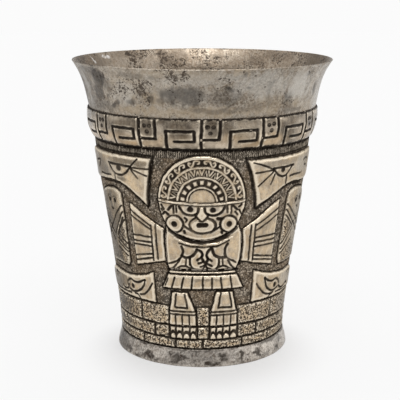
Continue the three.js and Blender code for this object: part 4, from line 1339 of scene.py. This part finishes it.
# Clouds of tarnish: large soft patches, smaller mottling inside them, a fine grain and streaks
tarnish, tree, given, result = group("tarnish_clouds", {
    "Patch Size": 60.0, "Mottle Size": 300.0, "Shift": 0.0,
}, ["Patches", "Mottle", "Grain", "Streaks"])
place = tree.vector("ADD", tree.node("TexCoord").outputs["Object"], given["Shift"])
cloudy = pushed(tree, place, 40.0, 3.0, (0.012, 0.012, 0.008))
drawn_out = tree.vector("MULTIPLY", cloudy, (1, 1, 0.22))
patches = tree.noise(cloudy, given["Patch Size"], 4.0, 0.55)["Fac"]
mottle = tree.noise(cloudy, given["Mottle Size"], 6.0, 0.75)["Fac"]
grain = tree.noise(place, 850.0, 3.0, 0.7)["Fac"]
streaks = tree.noise(drawn_out, 620.0, 4.0, 0.65)["Fac"]
tree.join(tree.ramp(patches, 0.36, 0.66), result["Patches"])
tree.join(tree.ramp(mottle, 0.38, 0.64), result["Mottle"])
tree.join(tree.ramp(grain, 0.36, 0.64), result["Grain"])
tree.join(tree.ramp(streaks, 0.36, 0.66), result["Streaks"])

# Corrosion pits: small dark specks of many sizes, more of them where Amount is high
pits, tree, given, result = group("corrosion_pits", {"Speck Size": 420.0, "Amount": 0.3}, ["Pits"])
place = tree.node("TexCoord").outputs["Object"]
ragged = pushed(tree, place, 600.0, 3.0, (0.0026, 0.0026, 0.0026))
cells = tree.node("TexVoronoi", {"Vector": ragged, "Scale": given["Speck Size"]}).outputs
size = tree.math("POWER", tree.node("SeparateColor", {"Color": cells["Color"]}), 2.0)
gathered = tree.ramp(tree.noise(place, 90.0, 3.0)["Fac"], 0.35, 0.65)
limit = tree.math("MULTIPLY", size, tree.math("MULTIPLY", gathered, given["Amount"]))
speck = tree.math("SUBTRACT", tree.math("MULTIPLY", limit, 0.6), cells["Distance"])
tree.join(tree.ramp(speck, -0.04, 0.1), result["Pits"])

# Punch marks: rounded bumps packed close together, some bright and some dull, with dark gaps
punches, tree, given, result = group("punch_marks", {"Size": 1100.0},
                                     ["Bumps", "Gaps", "Tone", "Worms"])
place = tree.node("TexCoord").outputs["Object"]
ragged = pushed(tree, place, 700.0, 1.0, (0.0016, 0.0016, 0.0016))
marks = {"Vector": ragged, "Scale": given["Size"]}
edge = tree.node("TexVoronoi", marks, feature="DISTANCE_TO_EDGE").outputs["Distance"]
tone = tree.node("SeparateColor", {"Color": tree.node("TexVoronoi", marks).outputs["Color"]})
worms = tree.node("TexNoise", {"Vector": place, "Scale": tree.math("MULTIPLY", given["Size"], 1.75),
                               "Detail": 1.0, "Distortion": 0.4})
tree.join(tree.ramp(edge, 0.0, 0.42), result["Bumps"])
tree.join(tree.math("SUBTRACT", 1.0, tree.ramp(edge, 0.03, 0.2)), result["Gaps"])
tree.join(tree.ramp(tone, 0.15, 0.85), result["Tone"])
tree.join(tree.ramp(worms, 0.46, 0.56), result["Worms"])

# Hatching: short upright strokes of a flat punch, close together round the vase
strokes, tree, given, result = group("upright_strokes", {"Strokes": 420.0}, ["Ridges", "Gaps"])
place = tree.node("TexCoord").outputs["UV"]
sway = tree.math("MULTIPLY", tree.noise(place, 160.0, 2.0)["Fac"], 0.006)
across = tree.math("ADD", tree.node("SeparateXYZ", {"Vector": place}), sway)
full_waves = tree.math("MULTIPLY", given["Strokes"], 2 * math.pi)
wave = tree.math("SINE", tree.math("MULTIPLY", across, full_waves))
tree.join(tree.ramp(wave, -1.0, 1.0), result["Ridges"])
tree.join(tree.ramp(wave, -0.1, -0.9), result["Gaps"])
print("groups:", len(bpy.data.node_groups))

# %% [markdown]
# The chased wall's silver: bright worn faces, a dull dark ground, and black in every cut line.
# The masks come from the drawing board as attributes of the mesh, so colour and relief agree.
# The Pointiness of a Geometry node would find edges too, but it changes with the mesh's density.

# %% Silver of the chased wall
POLISHED_AND_HIGHLIGHT = colour(0.8, 0.69, 0.535)
TAN_SILVER = colour(0.41, 0.325, 0.225)
BRIGHT = colour(0.75, 0.57, 0.36)
WARM = colour(0.45, 0.31, 0.18)
GREY = colour(0.27, 0.235, 0.195)
COOL_LIT_SILVER = colour(0.58, 0.55, 0.5)
LINING = colour(0.3, 0.25, 0.2)
SMOKE_AND_SHADE_GREY = colour(0.08, 0.068, 0.056)
GROUND = colour(0.15, 0.126, 0.097)
GROUND_LIGHT = colour(0.57, 0.495, 0.4)
STIPPLE_BLACK = colour(0.05, 0.037, 0.027)
SOOT = colour(0.018, 0.012, 0.008)
SPECULAR = 0.2
WALL_SHEEN = colour(0.55, 0.53, 0.5)


def use(tree, made, values):
    """Places a node group and sets its inputs."""
    node = tree.tree.nodes.new("ShaderNodeGroup")
    node.node_tree = made
    for name, value in values.items():
        tree.join(value, node.inputs[name])
    return node.outputs


def silver(name, metallic, dirt_and_shade):
    """A material with its Principled shader, less of a metal where the named masks lay dirt and
    painted shade.
    """
    material = bpy.data.materials.new(name)
    material.use_nodes = True
    tree = Tree(material.node_tree)
    cover = 0.0
    for mask_name, share in dirt_and_shade.items():
        cover = tree.math("MAXIMUM", tree.math("MULTIPLY", mask_name, share), cover)
    shine = tree.math("SUBTRACT", metallic, cover)
    shader = tree.node("BsdfPrincipled", {"Metallic": shine, "Specular IOR Level": SPECULAR})
    tree.node("OutputMaterial", {"Surface": shader})
    return material, tree, shader


def dress(tree, shader, face, roughness, relief, strength, depth):
    """Gives a shader its colour and roughness, and a bump of some depth in metres."""
    bump = tree.node("Bump", {"Strength": strength, "Distance": depth, "Height": relief})
    tree.join(face, shader.inputs["Base Color"])
    tree.join(roughness, shader.inputs["Roughness"])
    tree.join(bump, shader.inputs["Normal"])


chased, tree, shader = silver("chased_silver", 0.9, {"smoke_and_shade": 0.5, "ink": 0.5})
shader.inputs["Specular Tint"].default_value = WALL_SHEEN
clouds = use(tree, tarnish, {"Patch Size": 60.0, "Mottle Size": 190.0})
marks = use(tree, punches, {"Size": 620.0})
matting = use(tree, punches, {"Size": 900.0})
hatch = use(tree, strokes, {"Strokes": 330.0})
# Rubbed high points, painted bright as a highlight along the plate edges
rub_and_highlight = tree.math("MULTIPLY", "worn_and_highlight", tree.math("MULTIPLY_ADD", clouds["Mottle"], 0.7, 0.6))
face = tree.paint(BRIGHT, [
    (clouds["Patches"], 0.55, WARM),
    (clouds["Mottle"], 0.62, GREY),
    # Cool tarnish, and painted light on the right side of the wall
    ("cool_and_lit", 0.75, COOL_LIT_SILVER),
    (clouds["Grain"], 0.3, GREY),
    (clouds["Streaks"], 0.4, POLISHED_AND_HIGHLIGHT),
    # Smoke tarnish, and painted shade on the left side of the wall
    ("smoke_and_shade", 0.72, SMOKE_AND_SHADE_GREY),
    ("soot", 0.58, GROUND),
    (tree.ramp(rub_and_highlight, 0.05, 0.22), 1, POLISHED_AND_HIGHLIGHT),
    (tree.math("MULTIPLY", marks["Worms"], "stipple"), 0.95, STIPPLE_BLACK),
])
speckle = tree.paint(GROUND, [
    (matting["Tone"], 1, GROUND_LIGHT),
    (clouds["Patches"], 0.4, WARM),
    (matting["Gaps"], 0.75, SOOT),
])
lines = tree.paint(GROUND, [
    (hatch["Ridges"], matting["Tone"], GROUND_LIGHT),
    (hatch["Gaps"], 1, SOOT),
])
skin = tree.mix("ground", face, tree.mix("hatching", speckle, lines))
skin = tree.paint(skin, [
    (tree.ramp("hollow", 0.5, 1.1), 1, SOOT),
    ("ink", 0.96, SOOT),
    ("lining", 1, tree.mix(clouds["Mottle"], LINING, GREY)),
])
dull = tree.math("MULTIPLY_ADD", "ground", 0.38, 0.2)
dull = tree.math("MULTIPLY_ADD", "ink", 0.35, dull)
dull = tree.math("MULTIPLY_ADD", clouds["Mottle"], 0.14, dull, clamp=True)
bumps = tree.math("MULTIPLY", tree.math("SUBTRACT", 1.0, marks["Worms"]), "stipple")
matted = tree.math("MULTIPLY", matting["Bumps"], tree.math("MULTIPLY", "ground", 0.8))
ridges = tree.math("MULTIPLY", hatch["Ridges"], tree.math("MULTIPLY", "hatching", 0.8))
texture = tree.math("ADD", bumps, tree.math("ADD", matted, ridges))
texture = tree.math("MULTIPLY_ADD", clouds["Grain"], 0.1, texture)
dress(tree, shader, skin, dull, texture, strength=0.8, depth=0.0003)
figure_wall.data.materials.append(chased)
print("wall material:", len(tree.tree.nodes), "nodes")

# %% [markdown]
# The band is burnished and a little brighter than the wall. Its upper half is painted darker in
# tarnish-like patches, as painted shade where the swelled band reflects the dim ceiling, and it
# turns tan towards the bottom. The worn ridges of the fret are rubbed clean and painted bright as
# a highlight. The wall's material would fit its lines, but not that change from top to bottom, so
# it has its own.

# %% Silver of the fret band
BAND_LIGHT = colour(0.62, 0.53, 0.42)
BAND_DARK = colour(0.09, 0.074, 0.057)
BAND_TAN = colour(0.5, 0.33, 0.165)
BAND_TOP_SHADE = colour(0.07, 0.054, 0.04)
BAND_WARM = colour(0.26, 0.2, 0.135)

banded, tree, shader = silver("band_silver", 0.95, {"ink": 0.5})
clouds = use(tree, tarnish, {"Patch Size": 90.0, "Mottle Size": 240.0, "Shift": 0.31})
specks = use(tree, pits, {"Speck Size": 700.0, "Amount": 0.9})
face = tree.paint(BAND_LIGHT, [
    (clouds["Patches"], 1, BAND_DARK),
    ("tan", 0.8, BAND_TAN),
    # Painted shade on the upper half of the band
    ("smoke_and_shade", 0.9, BAND_TOP_SHADE),
    (clouds["Mottle"], 0.45, BAND_WARM),
    (clouds["Streaks"], 0.12, POLISHED_AND_HIGHLIGHT),
    ("soot", 0.6, GROUND),
    # Rubbed ridges of the fret, painted bright as a highlight
    (tree.ramp("worn_and_highlight", 0.08, 0.35), 1, POLISHED_AND_HIGHLIGHT),
    (tree.ramp("hollow", 0.06, 0.35), 1, SOOT),
    ("ink", 0.96, SOOT),
    (specks["Pits"], 0.6, GROUND),
])
dull = tree.math("MULTIPLY_ADD", "ink", 0.55, 0.06)
dull = tree.math("MULTIPLY_ADD", clouds["Mottle"], 0.14, dull)
dress(tree, shader, face, dull, clouds["Grain"], strength=0.5, depth=0.0002)
fret_band.data.materials.append(banded)

# %% [markdown]
# The plain sheets share one recipe with amounts of their own: light metal under dark patches,
# warm mottling, stains and pits, and painted shade, painted light and painted glints where their
# masks are. One material for all would be less work, but the foot is rubbed brighter than the
# collar, and nobody polishes the floor or the solder.

# %% Silver of the plain sheets
PIT_BLACK = colour(0.05, 0.036, 0.027)
GLINT_WHITE = colour(1.0, 0.98, 0.95)


def plain_silver(name, light, dark, warm, patch, mottle, shift, speck, amount, roughness):
    """Tarnished sheet: light metal, dark patches, warm mottling and dark pits, and the painted
    shade, painted light and painted glints of its masks.
    """
    material, tree, shader = silver(name, 0.92, {"smoke_and_shade": 0.4})
    clouds = use(tree, tarnish, {"Patch Size": patch, "Mottle Size": mottle, "Shift": shift})
    pitted = tree.math("MAXIMUM", "pitted", tree.math("MULTIPLY", "lining", 0.65))
    fine_amount = tree.math("MULTIPLY_ADD", pitted, 1.6, amount)
    coarse_amount = tree.math("MULTIPLY_ADD", pitted, 1.3, amount)
    fine = use(tree, pits, {"Speck Size": 2 * speck, "Amount": fine_amount})
    coarse = use(tree, pits, {"Speck Size": speck, "Amount": coarse_amount})
    specks = tree.math("MAXIMUM", tree.math("MULTIPLY", fine["Pits"], 0.85), coarse["Pits"])
    half_streaks = tree.math("MULTIPLY", clouds["Streaks"], 0.5)
    streaks = tree.math("MULTIPLY_ADD", clouds["Mottle"], 0.5, half_streaks)
    face = tree.paint(light, [
        (clouds["Patches"], 1, dark),
        (clouds["Mottle"], 0.65, warm),
        (clouds["Streaks"], 0.6, dark),
        (clouds["Grain"], 0.62, light),
        ("tan", tree.math("MULTIPLY_ADD", streaks, 0.6, 0.4), TAN_SILVER),
        # Smoke tarnish, and painted shade on the left of the collar and the foot
        ("smoke_and_shade", tree.math("MULTIPLY_ADD", streaks, -0.5, 1.0), SMOKE_AND_SHADE_GREY),
        # Cool tarnish, and painted light on the right of the collar
        ("cool_and_lit", 0.7, COOL_LIT_SILVER),
        ("lining", 0.3, warm),
        (specks, 0.85, PIT_BLACK),
        # Painted glints on the scratches inside the lip
        ("glint", 1, GLINT_WHITE),
    ])
    dull = tree.math("MULTIPLY_ADD", "smoke_and_shade", 0.15, roughness)
    dull = tree.math("MULTIPLY_ADD", "glint", 0.3, dull)
    dull = tree.math("MULTIPLY_ADD", clouds["Mottle"], 0.2, dull)
    relief = tree.math("MULTIPLY_ADD", clouds["Grain"], 0.3, tree.math("MULTIPLY", specks, -1.0))
    dress(tree, shader, face, dull, relief, strength=0.85, depth=0.0002)
    return material


collar_silver = plain_silver(
    "collar_silver", light=colour(0.54, 0.48, 0.4), dark=colour(0.112, 0.092, 0.071),
    warm=colour(0.26, 0.18, 0.11), patch=30.0, mottle=260.0, shift=0.77, speck=660.0, amount=0.62,
    roughness=0.24)
foot_silver = plain_silver(
    "foot_silver", light=colour(0.64, 0.585, 0.52), dark=colour(0.11, 0.096, 0.082),
    warm=colour(0.24, 0.19, 0.145), patch=70.0, mottle=260.0, shift=0.12, speck=480.0, amount=0.45,
    roughness=0.2)
floor_silver = plain_silver(
    "floor_silver", light=colour(0.4, 0.35, 0.29), dark=colour(0.22, 0.19, 0.16),
    warm=colour(0.34, 0.27, 0.2), patch=40.0, mottle=130.0, shift=0.5, speck=400.0, amount=0.4,
    roughness=0.4)
solder_metal = plain_silver(
    "solder", light=colour(0.5, 0.47, 0.43), dark=colour(0.28, 0.25, 0.22),
    warm=colour(0.4, 0.34, 0.28), patch=120.0, mottle=400.0, shift=0.9, speck=600.0, amount=0.3,
    roughness=0.38)
rim_collar.data.materials.append(collar_silver)
foot_ring.data.materials.append(foot_silver)
floor_disc.data.materials.append(floor_silver)
for ring in solder_rings:
    ring.data.materials.append(solder_metal)
print("materials:", len(bpy.data.materials))
